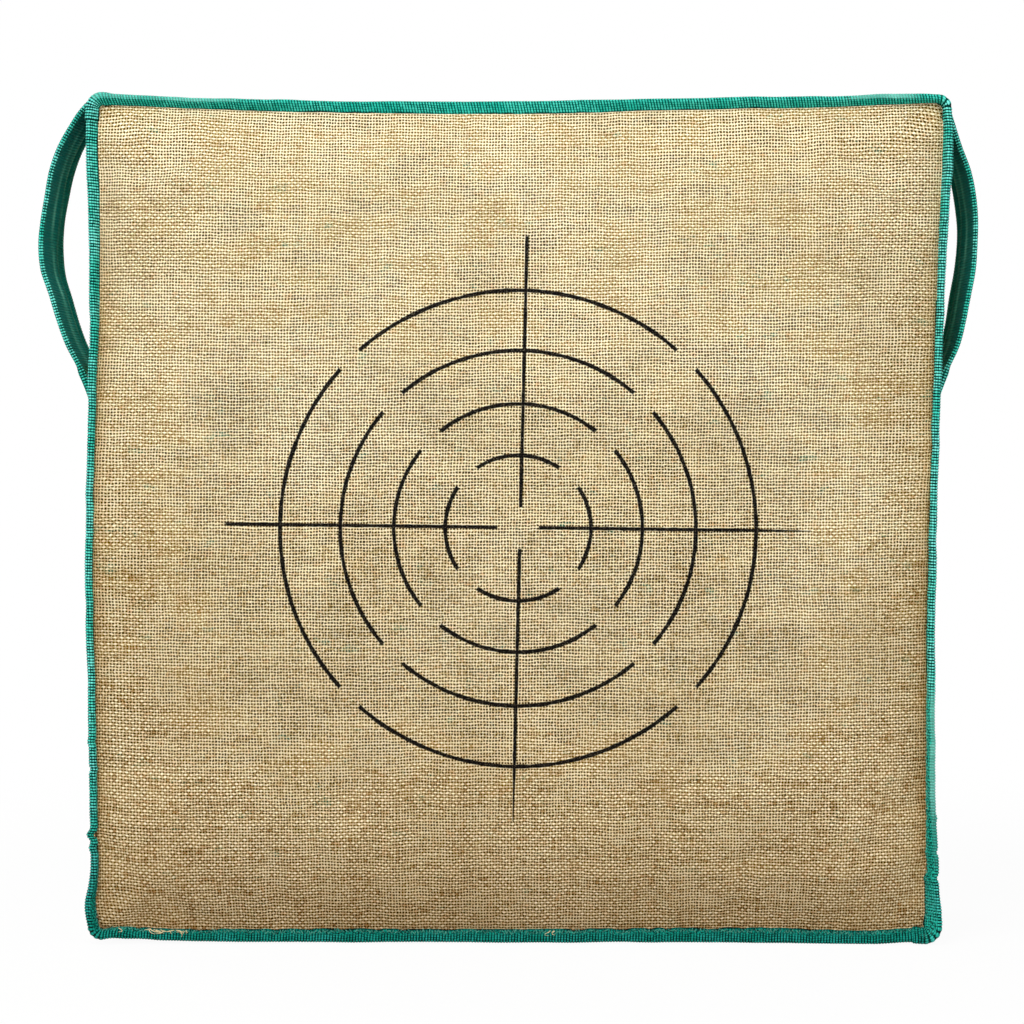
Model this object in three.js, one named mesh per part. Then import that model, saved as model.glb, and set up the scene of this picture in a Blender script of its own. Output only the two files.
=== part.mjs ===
// Archery target boss: a square hessian bag whose front and rear edges are bound with ribbed tape,
// packed with a stack of soft stopping layers and carried by a folded-tape handle on each side.
// Millimetres. +X is the viewer's right, +Y runs from the printed face to the back, +Z is up.
// The origin is on the ground, under the middle of the bag.
import * as THREE from "three";

// Bag, measured between its seam lines
const bag_half_width = 291;
const bag_height = 576;
const bag_depth = 150;
const corner_radius = 12;

// Cloths, tape and the clearance between layers that touch
const cover_cloth = 0.8;
const liner_cloth = 0.3;
const binding_tape = 0.6;
const clearance = 0.3;

// Seam allowance that stands up inside the binding, and how far it leans out of the face's plane
const seam_allowance = 8;
const seam_lean = THREE.MathUtils.degToRad(42);

// Crown of the two faces: how far the packing pushes them out, and over what distance they round off
const front_crown_low = 27;
const front_crown_high = 18;
const rear_crown = 18;
const edge_run = 60;
const foot_run = 110;
const rise_power = 2.2;

// Swell of the four gussets between the seams
const side_swell = 2.5;
const top_swell = 5;
const bottom_swell = 9;
const side_swell_run = 75;
const bottom_swell_run = 34;

// How the sewn bag has settled out of square
const right_draw = 2.5;
const right_flare = 9.5;
const left_belly = 1.6;
const left_belly_share = 0.5;
const left_belly_pitch_share = 0.85;
const top_dip = 6;

// Stopping core
const layer_count = 16;
const layer_setback = 3;
const stack_headroom = 14;

// Carry handles
const strap_width = 40;
const strap_leaf = 1.35;
const strap_slot = 0.5;
const inner_leaf_share = 0.62;
const handle_setback = 10;
const handle_span = 206;
const handle_top_drop = 2;
const tail_length = 28;
const fold_radius = 2;
const left_bow = 43.8;
const right_bow = 31.5;
const left_strap_lean = 10;
const right_strap_lean = 8;
const handle_swing = THREE.MathUtils.degToRad(25);
const swing_margin = 0.6;

// Steps of the meshes
const side_shares = [0, 0.04, 0.1, 0.2, 0.35, 0.5, 0.65, 0.8, 0.9, 0.96];
const corner_steps = 4;
const front_ring_shares = [0, 0.45, 0.7, 0.82, 0.9, 0.95, 0.985];
const rear_ring_shares = [0, 0.78, 0.88, 0.95, 0.985];
const gusset_shares = [0.06, 0.16, 0.3, 0.5, 0.7, 0.84, 0.94];
const loop_steps = 12;
const end_steps = 4;

// Places of each layer of cloth, measured from the seam's middle surface
const gusset_near = clearance / 2;
const gusset_far = gusset_near + cover_cloth;
const liner_near = clearance / 2;
const liner_far = liner_near + liner_cloth;
const face_near = liner_far + clearance;
const face_far = face_near + cover_cloth;
const tape_front_near = face_far + clearance;
const tape_front_far = tape_front_near + binding_tape;
const tape_rear_near = gusset_far + clearance;
const tape_rear_far = tape_rear_near + binding_tape;

const seam_bottom = bottom_swell + gusset_far;
const seam_top = seam_bottom + bag_height;
const half_depth = bag_depth / 2;
const strap_thickness = 2 * strap_leaf + strap_slot;

const front = { sign: -1, crown_low: front_crown_low, crown_high: front_crown_high, foot_run };
const rear = { sign: 1, crown_low: rear_crown, crown_high: rear_crown, foot_run: edge_run };

const { clamp, lerp } = THREE.MathUtils;

// A cloth pushed out by the packing: nothing at its seam, and full height one run away from it
function rise(distance, run) {
  return 1 - (1 - clamp(distance / run, 0, 1)) ** rise_power;
}

function heightShare(z) {
  return clamp((z - seam_bottom) / bag_height, 0, 1);
}

function crown(face, x, z) {
  const height = lerp(face.crown_low, face.crown_high, heightShare(z));
  const across = rise(bag_half_width - Math.abs(x), edge_run);
  return height * across * rise(seam_top - z, edge_run) * rise(z - seam_bottom, face.foot_run);
}

// Moves a point of the square bag to where the settled bag has it
function settledX(x, z) {
  const up = heightShare(z);
  const right = -right_draw + right_flare * up ** 3;
  const left = left_belly * Math.cos((2 * Math.PI * (up - left_belly_share)) / left_belly_pitch_share);
  const share = x / bag_half_width;
  return x + (share > 0 ? share * right : share * left);
}

function settled(x, y, z) {
  const share = clamp(x / bag_half_width, -1, 1);
  const dip = top_dip * heightShare(z) ** 2 * (1 - share ** 4);
  return new THREE.Vector3(settledX(x, z), y, z - dip);
}

// One closed solid between two grids of points, whose rows run round or along the piece
function sheet(name, material, outer, inner, closed) {
  const columns = outer[0].length;
  const points = [...outer.flat(), ...inner.flat()];
  const inner_start = outer.length * columns;
  const at = (row, column) => row * columns + (column % columns);
  const faces = [];
  const quad = (a, b, c, d) => faces.push([a, b, c], [a, c, d]);
  const last_column = closed ? columns : columns - 1;
  for (let row = 0; row + 1 < outer.length; row++) {
    for (let column = 0; column < last_column; column++) {
      const corners = [at(row, column), at(row, column + 1), at(row + 1, column + 1), at(row + 1, column)];
      quad(...corners);
      const [a, b, c, d] = corners.map((corner) => corner + inner_start);
      faces.push([c, b, a], [d, c, a]);
    }
  }
  for (const row of [0, outer.length - 1]) {
    for (let column = 0; column < last_column; column++) {
      const edge = [at(row, column), at(row, column + 1)];
      if (row > 0) edge.reverse();
      quad(edge[1], edge[0], edge[0] + inner_start, edge[1] + inner_start);
    }
  }
  if (!closed) {
    for (const column of [0, columns - 1]) {
      for (let row = 0; row + 1 < outer.length; row++) {
        const edge = [at(row, column), at(row + 1, column)];
        if (column === 0) edge.reverse();
        quad(edge[1], edge[0], edge[0] + inner_start, edge[1] + inner_start);
      }
    }
  }
  return solid(name, material, points, faces);
}

// One closed solid through a row of like sections, capped at both ends
function loft(name, material, rings, contour) {
  const count = contour.length;
  const faces = [];
  for (let ring = 0; ring + 1 < rings.length; ring++) {
    for (let i = 0; i < count; i++) {
      const a = ring * count + i;
      const b = ring * count + ((i + 1) % count);
      faces.push([a, b, b + count], [a, b + count, a + count]);
    }
  }
  const cap = THREE.ShapeUtils.triangulateShape(contour, []);
  const turned = THREE.ShapeUtils.isClockWise(contour);
  const last = (rings.length - 1) * count;
  for (const face of cap) {
    const [a, b, c] = turned ? [...face].reverse() : face;
    faces.push([c, b, a], [a + last, b + last, c + last]);
  }
  return solid(name, material, rings.flat(), faces);
}

// Joins points that coincide, leaves out faces that close up, and turns the faces outwards
function solid(name, material, points, faces) {
  const places = new Map();
  const kept = [];
  const index = points.map((point) => {
    const key = point.toArray().map(Math.fround).join();
    if (!places.has(key)) {
      places.set(key, kept.length);
      kept.push(point);
    }
    return places.get(key);
  });
  const triangles = faces
    .map((face) => face.map((corner) => index[corner]))
    .filter(([a, b, c]) => a !== b && b !== c && c !== a);
  const cross = new THREE.Vector3();
  const volume = triangles.reduce(
    (sum, [a, b, c]) => sum + kept[a].dot(cross.crossVectors(kept[b], kept[c])),
    0,
  );
  if (volume < 0) triangles.forEach((triangle) => triangle.reverse());
  const geometry = new THREE.BufferGeometry().setFromPoints(kept);
  geometry.setIndex(triangles.flat());
  geometry.computeVertexNormals();
  const mesh = new THREE.Mesh(geometry, material);
  mesh.name = name;
  return mesh;
}

// Stations of the seam line, clockwise from the middle of the upper left corner:
// a place, the outward normal there, and how the gusset swells there
function station(x, z, angle) {
  const nx = Math.cos(angle);
  const nz = Math.sin(angle);
  const side = nx ** 2;
  const up = nz > 0 ? nz ** 2 : 0;
  const down = nz < 0 ? nz ** 2 : 0;
  return {
    x,
    z,
    nx,
    nz,
    swell: side * side_swell + up * top_swell + down * bottom_swell,
    run: (side + up) * side_swell_run + down * bottom_swell_run,
  };
}

function seamLine() {
  const width = bag_half_width - corner_radius;
  const low = seam_bottom + corner_radius;
  const high = seam_top - corner_radius;
  const corners = [
    [-width, high, Math.PI],
    [width, high, Math.PI / 2],
    [width, low, 0],
    [-width, low, -Math.PI / 2],
  ];
  const stations = [];
  corners.forEach(([x, z, angle], index) => {
    for (let step = 0; step < corner_steps; step++) {
      const turn = angle - (Math.PI / 2) * (step / corner_steps);
      const place = [x + corner_radius * Math.cos(turn), z + corner_radius * Math.sin(turn)];
      stations.push(station(...place, turn));
    }
    const leaving = angle - Math.PI / 2;
    const [next_x, next_z] = corners[(index + 1) % corners.length];
    for (const share of side_shares) {
      const place = [
        lerp(x, next_x, share) + corner_radius * Math.cos(leaving),
        lerp(z, next_z, share) + corner_radius * Math.sin(leaving),
      ];
      stations.push(station(...place, leaving));
    }
  });
  const middle = corner_steps / 2;
  return [...stations.slice(middle), ...stations.slice(0, middle)];
}

const seam = seamLine();
const quarter = seam.length / 4;

function stretch(from, to) {
  const stations = [];
  for (let index = from; index <= to; index++) stations.push(seam[index % seam.length]);
  return stations;
}

// A point of the flange: along it from the seam, and off its middle surface towards the face
function flangePoint(face, place, along, off) {
  const out = Math.cos(seam_lean) * along - Math.sin(seam_lean) * off;
  const forward = Math.sin(seam_lean) * along + Math.cos(seam_lean) * off;
  const y = face.sign * (half_depth + forward);
  return settled(place.x + place.nx * out, y, place.z + place.nz * out);
}

function towardsMiddle(place, share) {
  const middle = (seam_bottom + seam_top) / 2;
  return [place.x * share, middle + (place.z - middle) * share];
}

// The slope at which a face leaves the seam
function faceSlope(face, place) {
  const shares = face === front ? front_ring_shares : rear_ring_shares;
  const [x, z] = towardsMiddle(place, shares[shares.length - 1]);
  return Math.atan2(crown(face, x, z), Math.hypot(place.x - x, place.z - z));
}

// The slope at which a gusset leaves the seam
function gussetSlope(place) {
  const distance = gusset_shares[0] * bag_depth;
  return Math.atan2(place.swell * rise(distance, place.run), distance);
}

// The corner of a bent cloth that keeps one distance from both of its sides
function bendPoint(face, place, off, bearing, half_angle) {
  const reach = off / Math.sin(half_angle);
  const out = Math.cos(bearing) * reach;
  const y = face.sign * (half_depth + Math.sin(bearing) * reach);
  return settled(place.x + place.nx * out, y, place.z + place.nz * out);
}

// A face cloth: rings from the middle to the seam, then the seam allowance
function faceRows(face, off) {
  const shares = face === front ? front_ring_shares : rear_ring_shares;
  const rows = shares.map((share) =>
    seam.map((place) => {
      const [x, z] = towardsMiddle(place, share);
      return settled(x, face.sign * (half_depth + crown(face, x, z) + off), z);
    }),
  );
  rows.push(
    seam.map((place) => {
      const slope = faceSlope(face, place);
      const bearing = (Math.PI - slope + seam_lean) / 2;
      return bendPoint(face, place, off, bearing, (Math.PI - slope - seam_lean) / 2);
    }),
  );
  rows.push(seam.map((place) => flangePoint(face, place, seam_allowance, off)));
  return rows;
}

// A gusset cloth between two stations: front seam allowance, boxing, rear seam allowance
function gussetRows(stations, off) {
  const bend = (face, place) => {
    const slope = gussetSlope(place);
    const bearing = (seam_lean + slope - Math.PI / 2) / 2;
    return bendPoint(face, place, off, bearing, (seam_lean - slope + Math.PI / 2) / 2);
  };
  return stations.map((place) => {
    const boxing = gusset_shares.map((share) => {
      const distance = Math.min(share, 1 - share) * bag_depth;
      const out = place.swell * rise(distance, place.run) + off;
      return settled(place.x + place.nx * out, lerp(-half_depth, half_depth, share), place.z + place.nz * out);
    });
    return [
      flangePoint(front, place, seam_allowance, -off),
      bend(front, place),
      ...boxing,
      bend(rear, place),
      flangePoint(rear, place, seam_allowance, -off),
    ];
  });
}

// Opens half a clearance between a piece's end section and the next piece's
function drawnBack(points, place, direction) {
  const step = (direction * clearance) / 2;
  const shift = new THREE.Vector3(place.nz * step, 0, -place.nx * step);
  return points.map((point) => point.clone().add(shift));
}

function gusset(name, material, from, to) {
  const stations = stretch(from, to);
  const grid = (off) => {
    const rows = gussetRows(stations, off);
    rows[0] = drawnBack(rows[0], stations[0], 1);
    rows[rows.length - 1] = drawnBack(rows[rows.length - 1], stations[stations.length - 1], -1);
    return rows;
  };
  return sheet(name, material, grid(gusset_far), grid(gusset_near), false);
}

// A leaf of the tape starts where it clears the cloth that bends away at this angle beside the seam
function leafStart(between, near, far) {
  const off = Math.cos(between) > 0 ? far : near;
  return Math.max((near + Math.cos(between) * off) / Math.sin(between), clearance);
}

// Section of the binding as pairs of a length along the flange and an offset towards the face
function bindingSection(face, place) {
  const face_bend = Math.PI - faceSlope(face, place) - seam_lean;
  const gusset_bend = Math.PI / 2 - gussetSlope(place) + seam_lean;
  const face_start = leafStart(face_bend, tape_front_near, tape_front_far);
  const gusset_start = leafStart(gusset_bend, tape_rear_near, tape_rear_far);
  const inside = seam_allowance + clearance;
  const tip = inside + binding_tape;
  const shoulder = inside - binding_tape;
  return [
    [face_start, tape_front_near],
    [face_start, tape_front_far],
    [shoulder, tape_front_far],
    [inside + binding_tape / 2, tape_front_near],
    [tip, (tape_front_near - tape_rear_near) / 2],
    [inside + binding_tape / 2, -tape_rear_near],
    [shoulder, -tape_rear_far],
    [gusset_start, -tape_rear_far],
    [gusset_start, -tape_rear_near],
    [inside, -tape_rear_near],
    [inside, tape_front_near],
  ];
}

function binding(name, material, face, from, to) {
  const stations = stretch(from, to);
  const rings = stations.map((place) =>
    bindingSection(face, place).map(([along, off]) => flangePoint(face, place, along, off)),
  );
  rings[0] = drawnBack(rings[0], stations[0], 1);
  rings[rings.length - 1] = drawnBack(rings[rings.length - 1], stations[stations.length - 1], -1);
  const contour = bindingSection(face, stations[0]).map(([along, off]) => new THREE.Vector2(along, off));
  return loft(name, material, rings, contour);
}

// Outline of one stopping layer at a height, drawn in from the cover all round
const layer_shares = [-1, -0.96, -0.9, -0.8, -0.4, 0, 0.4, 0.8, 0.9, 0.96, 1];

function layerOutline(z) {
  const above_seam = z - seam_bottom;
  const at_foot = above_seam < 0;
  const below_top = seam_top - z;
  const drawn = at_foot ? bottom_swell_run : 0;
  const corner = Math.max(corner_radius - Math.min(Math.max(above_seam, 0), below_top), 0);
  const half_width = bag_half_width - layer_setback - corner;
  const edge = half_depth - layer_setback - drawn;
  const along = (face) =>
    layer_shares.map((share) => {
      const x = share * half_width;
      const y = face.sign * (edge + crown(face, x, z + top_dip * heightShare(z) ** 2));
      return new THREE.Vector3(settledX(x, z), y, z);
    });
  return [...along(front), ...along(rear).reverse()];
}

function coreLayer(material, index) {
  const floor = cover_cloth + clearance;
  const pitch = (seam_top - stack_headroom - floor) / layer_count;
  const bottom = floor + index * pitch;
  const top = bottom + pitch - clearance;
  const heights = [bottom, top];
  if (index === 0) heights.splice(1, 0, seam_bottom + layer_setback);
  if (index === layer_count - 1) heights.splice(1, 0, seam_top - edge_run / 2);
  const rings = heights.map(layerOutline);
  const contour = rings[rings.length - 1].map((point) => new THREE.Vector2(point.x, point.y));
  return loft("core_layer_" + String(index + 1).padStart(2, "0"), material, rings, contour);
}

// Handles. A handle is one length of wide tape folded along its front edge, with a shorter leaf
// towards the bag. Its ends are sewn to the side gusset, and the loop between them swings about
// the upright line through those ends.
const strap_section = strapSection();

function strapSection() {
  const half = strap_thickness / 2;
  const fold = [-90, -135, 180, 135, 90].map(THREE.MathUtils.degToRad);
  const inner_width = strap_width * inner_leaf_share;
  return [
    ...fold.map((angle) => [half + half * Math.cos(angle), half * Math.sin(angle)]),
    [strap_width, half],
    [strap_width, half - strap_leaf],
    [strap_thickness, half - strap_leaf],
    [strap_thickness, strap_leaf - half],
    [inner_width, strap_leaf - half],
    [inner_width, -half],
  ];
}

// Shares of the handle's span, from its top, and of its bow: the shape that each loop hangs in
const left_loop_shares = [
  [0.03, 0.27],
  [0.07, 0.44],
  [0.155, 0.67],
  [0.24, 0.82],
  [0.36, 0.94],
  [0.495, 1],
  [0.58, 0.96],
  [0.75, 0.69],
  [0.9, 0.36],
  [1, 0.12],
];
const right_loop_shares = [
  [0.03, 0.28],
  [0.07, 0.34],
  [0.155, 0.54],
  [0.24, 0.77],
  [0.33, 0.92],
  [0.42, 1],
  [0.58, 0.96],
  [0.75, 0.8],
  [0.9, 0.46],
  [1, 0.17],
];

const handle_middle_y = -half_depth + handle_setback + strap_width / 2;
const handle_top = seam_top - handle_top_drop;
const handle_bottom = handle_top - handle_span;
const hinge_out = strap_thickness + side_swell;

function sideSwellAt(y) {
  return side_swell * rise(half_depth - Math.abs(y), side_swell_run);
}

// How far a sewn end's middle stands off the seam plane when it lies on the gusset
const sewn_out = sideSwellAt(handle_middle_y) + gusset_far + clearance + strap_thickness / 2;
const sewn_slope =
  (sideSwellAt(handle_middle_y + clearance) - sideSwellAt(handle_middle_y - clearance)) / (2 * clearance);
const sewn_front = sewn_out - (sewn_slope * strap_width) / 2;
const sewn_lean = -sewn_slope * strap_width;

// The offset that the loop needs, so that its edges clear the sewn tails at the ends of its swing
const swing_reach = (strap_width / 2) * Math.sin(handle_swing);
const swing_wall = sewn_out + strap_thickness / 2 + swing_margin;
const loop_clear = hinge_out + (swing_wall - hinge_out + swing_reach) / Math.cos(handle_swing);

function handleShape(sign, bow, lean, shares) {
  const knots = shares.map(([down, out]) => new THREE.Vector2(handle_top - down * handle_span, out * bow));
  const samples = new THREE.SplineCurve(knots).getPoints(shares.length * loop_steps);
  const outAt = (z) => {
    const after = samples.findIndex((sample) => sample.x <= z);
    if (after < 1) return samples[after < 0 ? samples.length - 1 : 0].y;
    const [a, b] = [samples[after - 1], samples[after]];
    return lerp(a.y, b.y, (a.x - z) / (a.x - b.x));
  };
  const leanAt = (z) => (lean * (outAt(z) - sewn_out)) / (bow - sewn_out);
  const slopeAt = (z) => (outAt(z + clearance) - outAt(z - clearance)) / (2 * clearance);
  const innerEdge = (z) => {
    const half = (strap_thickness / 2) * Math.hypot(1, slopeAt(z));
    return outAt(z) - half - leanAt(z);
  };
  const middle = handle_top - handle_span / 2;
  let top = middle;
  let bottom = middle;
  while (innerEdge(top + clearance) > loop_clear) top += clearance;
  while (innerEdge(bottom - clearance) > loop_clear) bottom -= clearance;
  return { sign, outAt, leanAt, slopeAt, top, bottom };
}

// One section of a strap: its middle, the direction of its thickness and its lean into the bag
function strapRing(shape, out, z, thickness_out, thickness_up, lean) {
  const front_y = -half_depth + handle_setback;
  return strap_section.map(([across, off]) => {
    const inward = (lean * across) / strap_width;
    const x = bag_half_width + out - inward + off * thickness_out;
    return settled(shape.sign * x, front_y + across, z + off * thickness_up);
  });
}

// A level section, which is what the cuts between the loop and its ends show
function levelRing(shape, z) {
  const thickness = Math.hypot(1, shape.slopeAt(z));
  return strapRing(shape, shape.outAt(z), z, thickness, 0, shape.leanAt(z));
}

function handleLoop(name, material, shape) {
  const rings = [];
  for (let step = 0; step <= loop_steps; step++) {
    rings.push(levelRing(shape, lerp(shape.bottom, shape.top, step / loop_steps)));
  }
  return loft(name, material, rings, strapContour());
}

function strapContour() {
  return strap_section.map(([across, off]) => new THREE.Vector2(across, off));
}

// A strap end along points of an offset, a height and a lean; the middle line runs down the outer strand
function strapPath(shape, path) {
  return path.map(([out, z, lean], index) => {
    const before = path[Math.max(index - 1, 0)];
    const after = path[Math.min(index + 1, path.length - 1)];
    const along = new THREE.Vector2(after[0] - before[0], after[1] - before[1]).normalize();
    return strapRing(shape, out, z, -along.y, along.x, lean);
  });
}

// Points down the hanging strand between two heights, without the last
function strand(shape, from, to) {
  const points = [];
  for (let step = 0; step < end_steps; step++) {
    const z = lerp(from, to, step / end_steps);
    points.push([shape.outAt(z), z, shape.leanAt(z)]);
  }
  return points;
}

// The upper end is turned under at the top corner, so its tail lies between the strand and the gusset
function upperEnd(name, material, shape) {
  const turn = handle_top - fold_radius;
  const path = [
    [sewn_front, turn - tail_length, sewn_lean],
    [sewn_front, turn, sewn_lean],
  ];
  for (const angle of [135, 90, 45].map(THREE.MathUtils.degToRad)) {
    const out = sewn_front + fold_radius * (1 + Math.cos(angle));
    path.push([out, turn + fold_radius * Math.sin(angle), sewn_lean]);
  }
  const cut = shape.top + clearance;
  path.push(...strand(shape, turn - fold_radius, cut));
  return loft(name, material, [...strapPath(shape, path), levelRing(shape, cut)], strapContour());
}

function lowerEnd(name, material, shape) {
  const cut = shape.bottom - clearance;
  const path = [
    ...strand(shape, cut, handle_bottom),
    [sewn_front, handle_bottom, sewn_lean],
    [sewn_front, handle_bottom - tail_length, sewn_lean],
  ];
  const rings = [levelRing(shape, cut), ...strapPath(shape, path).slice(1)];
  return loft(name, material, rings, strapContour());
}

function handle(word, shape) {
  const group = new THREE.Group();
  group.add(
    handleLoop(word + "_handle_loop", ribbed_tape, shape),
    upperEnd(word + "_handle_upper_end", ribbed_tape, shape),
    lowerEnd(word + "_handle_lower_end", ribbed_tape, shape),
  );
  return group;
}

const hessian = new THREE.MeshStandardMaterial({ color: 0xb59a72, roughness: 0.95, metalness: 0 });
const plain_hessian = new THREE.MeshStandardMaterial({ color: 0xac9069, roughness: 0.95, metalness: 0 });
const lining = new THREE.MeshStandardMaterial({ color: 0x3f6f60, roughness: 0.9, metalness: 0 });
const ribbed_tape = new THREE.MeshStandardMaterial({ color: 0x356b5c, roughness: 0.8, metalness: 0 });
const foam = new THREE.MeshStandardMaterial({ color: 0x4a4b4c, roughness: 0.95, metalness: 0 });

function cover() {
  const group = new THREE.Group();
  group.add(
    sheet("face_panel", hessian, faceRows(front, face_far), faceRows(front, face_near), true),
    sheet("face_liner", lining, faceRows(front, liner_far), faceRows(front, liner_near), true),
    sheet("back_panel", plain_hessian, faceRows(rear, face_far), faceRows(rear, face_near), true),
    sheet("back_liner", lining, faceRows(rear, liner_far), faceRows(rear, liner_near), true),
    gusset("top_gusset", plain_hessian, 0, quarter),
    gusset("right_gusset", plain_hessian, quarter, 2 * quarter),
    gusset("bottom_gusset", plain_hessian, 2 * quarter, 3 * quarter),
    gusset("left_gusset", plain_hessian, 3 * quarter, 4 * quarter),
  );
  for (const [word, face] of [
    ["front", front],
    ["rear", rear],
  ]) {
    group.add(binding(word + "_binding_upper", ribbed_tape, face, 0, 2 * quarter));
    group.add(binding(word + "_binding_lower", ribbed_tape, face, 2 * quarter, 4 * quarter));
  }
  return group;
}

function core() {
  const group = new THREE.Group();
  for (let index = 0; index < layer_count; index++) group.add(coreLayer(foam, index));
  return group;
}

const left_shape = handleShape(-1, left_bow, left_strap_lean, left_loop_shares);
const right_shape = handleShape(1, right_bow, right_strap_lean, right_loop_shares);

export default new THREE.Group().add(
  cover(),
  core(),
  handle("left", left_shape),
  handle("right", right_shape),
);
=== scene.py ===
# %% [markdown]
# Archery target boss, dressed in Blender.
# The real one is a square hessian bag, stuffed with soft layers, whose edges are caught in a folded
# ribbed tape, with a loop of the same tape on each side to carry it by.
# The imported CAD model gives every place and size. Each cell below makes one piece of it or one finish.

# %% Frame, units and sizes
import bpy
import math
import numpy as np
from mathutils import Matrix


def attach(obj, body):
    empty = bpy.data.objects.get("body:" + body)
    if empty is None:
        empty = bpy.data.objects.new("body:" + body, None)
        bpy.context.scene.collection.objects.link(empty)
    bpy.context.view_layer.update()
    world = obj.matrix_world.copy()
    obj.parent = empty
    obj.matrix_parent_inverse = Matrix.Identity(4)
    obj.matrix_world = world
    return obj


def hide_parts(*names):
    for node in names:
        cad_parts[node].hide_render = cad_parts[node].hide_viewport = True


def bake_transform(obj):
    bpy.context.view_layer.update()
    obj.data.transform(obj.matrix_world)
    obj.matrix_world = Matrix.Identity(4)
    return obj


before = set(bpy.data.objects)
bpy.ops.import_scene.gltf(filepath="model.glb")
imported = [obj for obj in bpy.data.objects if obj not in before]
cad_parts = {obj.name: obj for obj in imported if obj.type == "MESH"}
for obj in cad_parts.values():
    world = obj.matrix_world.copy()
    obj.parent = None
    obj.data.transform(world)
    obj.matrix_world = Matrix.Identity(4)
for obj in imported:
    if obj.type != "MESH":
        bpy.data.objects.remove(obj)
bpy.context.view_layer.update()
mm = 0.001

bag_half_width, bag_height, half_depth, corner_radius = 291, 576, 75, 2.8
seam_bottom = 9.95
seam_top = seam_bottom + bag_height
seam_allowance = 8
front = dict(sign=-1, crown_low=27, crown_high=18, foot_run=110)
rear = dict(sign=1, crown_low=18, crown_high=18, foot_run=60)
edge_run, rise_power = 60, 2.2
cloth_off, cloth_thickness = 1.55, 0.8
gusset_off = 0.95

# %% [markdown]
# Wiring for nodes.
# A weave is a sum of small steps: where a thread lies, whether it is on top, how thick it is just there.
# A Signal is the output of a node that can be added and multiplied like a number, each step one Math
# node, so that such sums read like sums. The other helpers place one node each.

# %% Helpers for nodes
class Signal:
    """The output of a node, to be worked with like a number."""

    def __init__(self, socket):
        self.socket = socket

    def __add__(self, other):
        return calc("ADD", self, other)

    def __sub__(self, other):
        return calc("SUBTRACT", self, other)

    def __rsub__(self, other):
        return calc("SUBTRACT", other, self)

    def __mul__(self, other):
        return calc("MULTIPLY", self, other)

    def __truediv__(self, other):
        return calc("DIVIDE", self, other)

    def __pow__(self, other):
        return calc("POWER", self, other)

    def __abs__(self):
        return calc("ABSOLUTE", self)


def tree_of(*values):
    """The node tree that the signals among the values are in."""
    return next(value.socket.id_data for value in values if isinstance(value, Signal))


def wire(value, socket):
    """Links a signal to a socket, or sets the socket to a plain value."""
    if isinstance(value, Signal):
        socket.id_data.links.new(value.socket, socket)
    else:
        socket.default_value = value


def node(tree, kind, inputs=(), output=0, **settings):
    """Adds a node with its settings and its inputs, by name or in order, and returns one output."""
    made = tree.nodes.new(kind)
    for label, value in settings.items():
        setattr(made, label, value)
    for label, value in (inputs if isinstance(inputs, dict) else dict(enumerate(inputs))).items():
        wire(value, made.inputs[label])
    return Signal(made.outputs[output])


def calc(operation, *values, clamp=False):
    return node(tree_of(*values), "ShaderNodeMath", values, operation=operation, use_clamp=clamp)


def noise(place, scale, detail=2.0, roughness=0.5, output="Fac"):
    inputs = dict(Vector=place, Scale=scale, Detail=detail, Roughness=roughness)
    return node(tree_of(place), "ShaderNodeTexNoise", inputs, output)


def chance(value):
    """White noise: a number from 0 to 1 that is another one for every value."""
    return node(tree_of(value), "ShaderNodeTexWhiteNoise", dict(W=value), "Value", noise_dimensions="1D")


def vector(x, y, z=0.0):
    return node(tree_of(x, y, z), "ShaderNodeCombineXYZ", (x, y, z))


def parts(value):
    made = node(tree_of(value), "ShaderNodeSeparateXYZ", [value])
    return [Signal(socket) for socket in made.socket.node.outputs]


def between(value, low, high, to_low=0.0, to_high=1.0):
    """A smooth ramp from to_low, where the value is low, to to_high, where it is high."""
    inputs = (value, low, high, to_low, to_high)
    return node(tree_of(value), "ShaderNodeMapRange", inputs, interpolation_type="SMOOTHSTEP")


def mix(share, a, b, blend="MIX"):
    """Colour a where the share is 0, and b where it is 1. The node's inputs 6 and 7 are its colours."""
    inputs = {0: share, 6: a, 7: b}
    return node(tree_of(share, a, b), "ShaderNodeMix", inputs, 2, data_type="RGBA", blend_type=blend)


def times(a, b):
    return mix(1.0, a, b, "MULTIPLY")


def warmed(shade, green_power, blue_power):
    """A grey shade as a colour that gets browner as it gets darker."""
    return vector(shade, shade**green_power, shade**blue_power)


def attribute(tree, name, output="Fac"):
    return node(tree, "ShaderNodeAttribute", output=output, attribute_name=name)


def object_place(tree):
    return node(tree, "ShaderNodeTexCoord", output="Object")


def colour(red, green, blue):
    """A colour as a screen shows it, from 0 to 255, turned into the linear one that nodes use."""
    linear = [((c / 255 + 0.055) / 1.055) ** 2.4 if c > 10 else c / 3300 for c in (red, green, blue)]
    return (*linear, 1)


def new_group(name, kind, inputs, outputs):
    """An empty node group: the tree, its inputs as signals and the sockets of its outputs."""
    tree = bpy.data.node_groups.new(name, kind + "NodeTree")
    for way, rows in (("INPUT", inputs), ("OUTPUT", outputs)):
        for label, socket_kind, *value in rows:
            made = tree.interface.new_socket(label, in_out=way, socket_type="NodeSocket" + socket_kind)
            if value:
                made.default_value = value[0]
    given = {socket.name: Signal(socket) for socket in tree.nodes.new("NodeGroupInput").outputs}
    return tree, given, tree.nodes.new("NodeGroupOutput").inputs


def use_group(tree, group, **values):
    made = node(tree, "ShaderNodeGroup", values, node_tree=group)
    return {socket.name: Signal(socket) for socket in made.socket.node.outputs}


def new_material(name, roughness, specular=0.25):
    made = bpy.data.materials.new(name)
    made.use_nodes = True
    shader = made.node_tree.nodes["Principled BSDF"].inputs
    shader["Roughness"].default_value = roughness
    shader["Specular IOR Level"].default_value = specular
    return made, made.node_tree, shader


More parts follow.
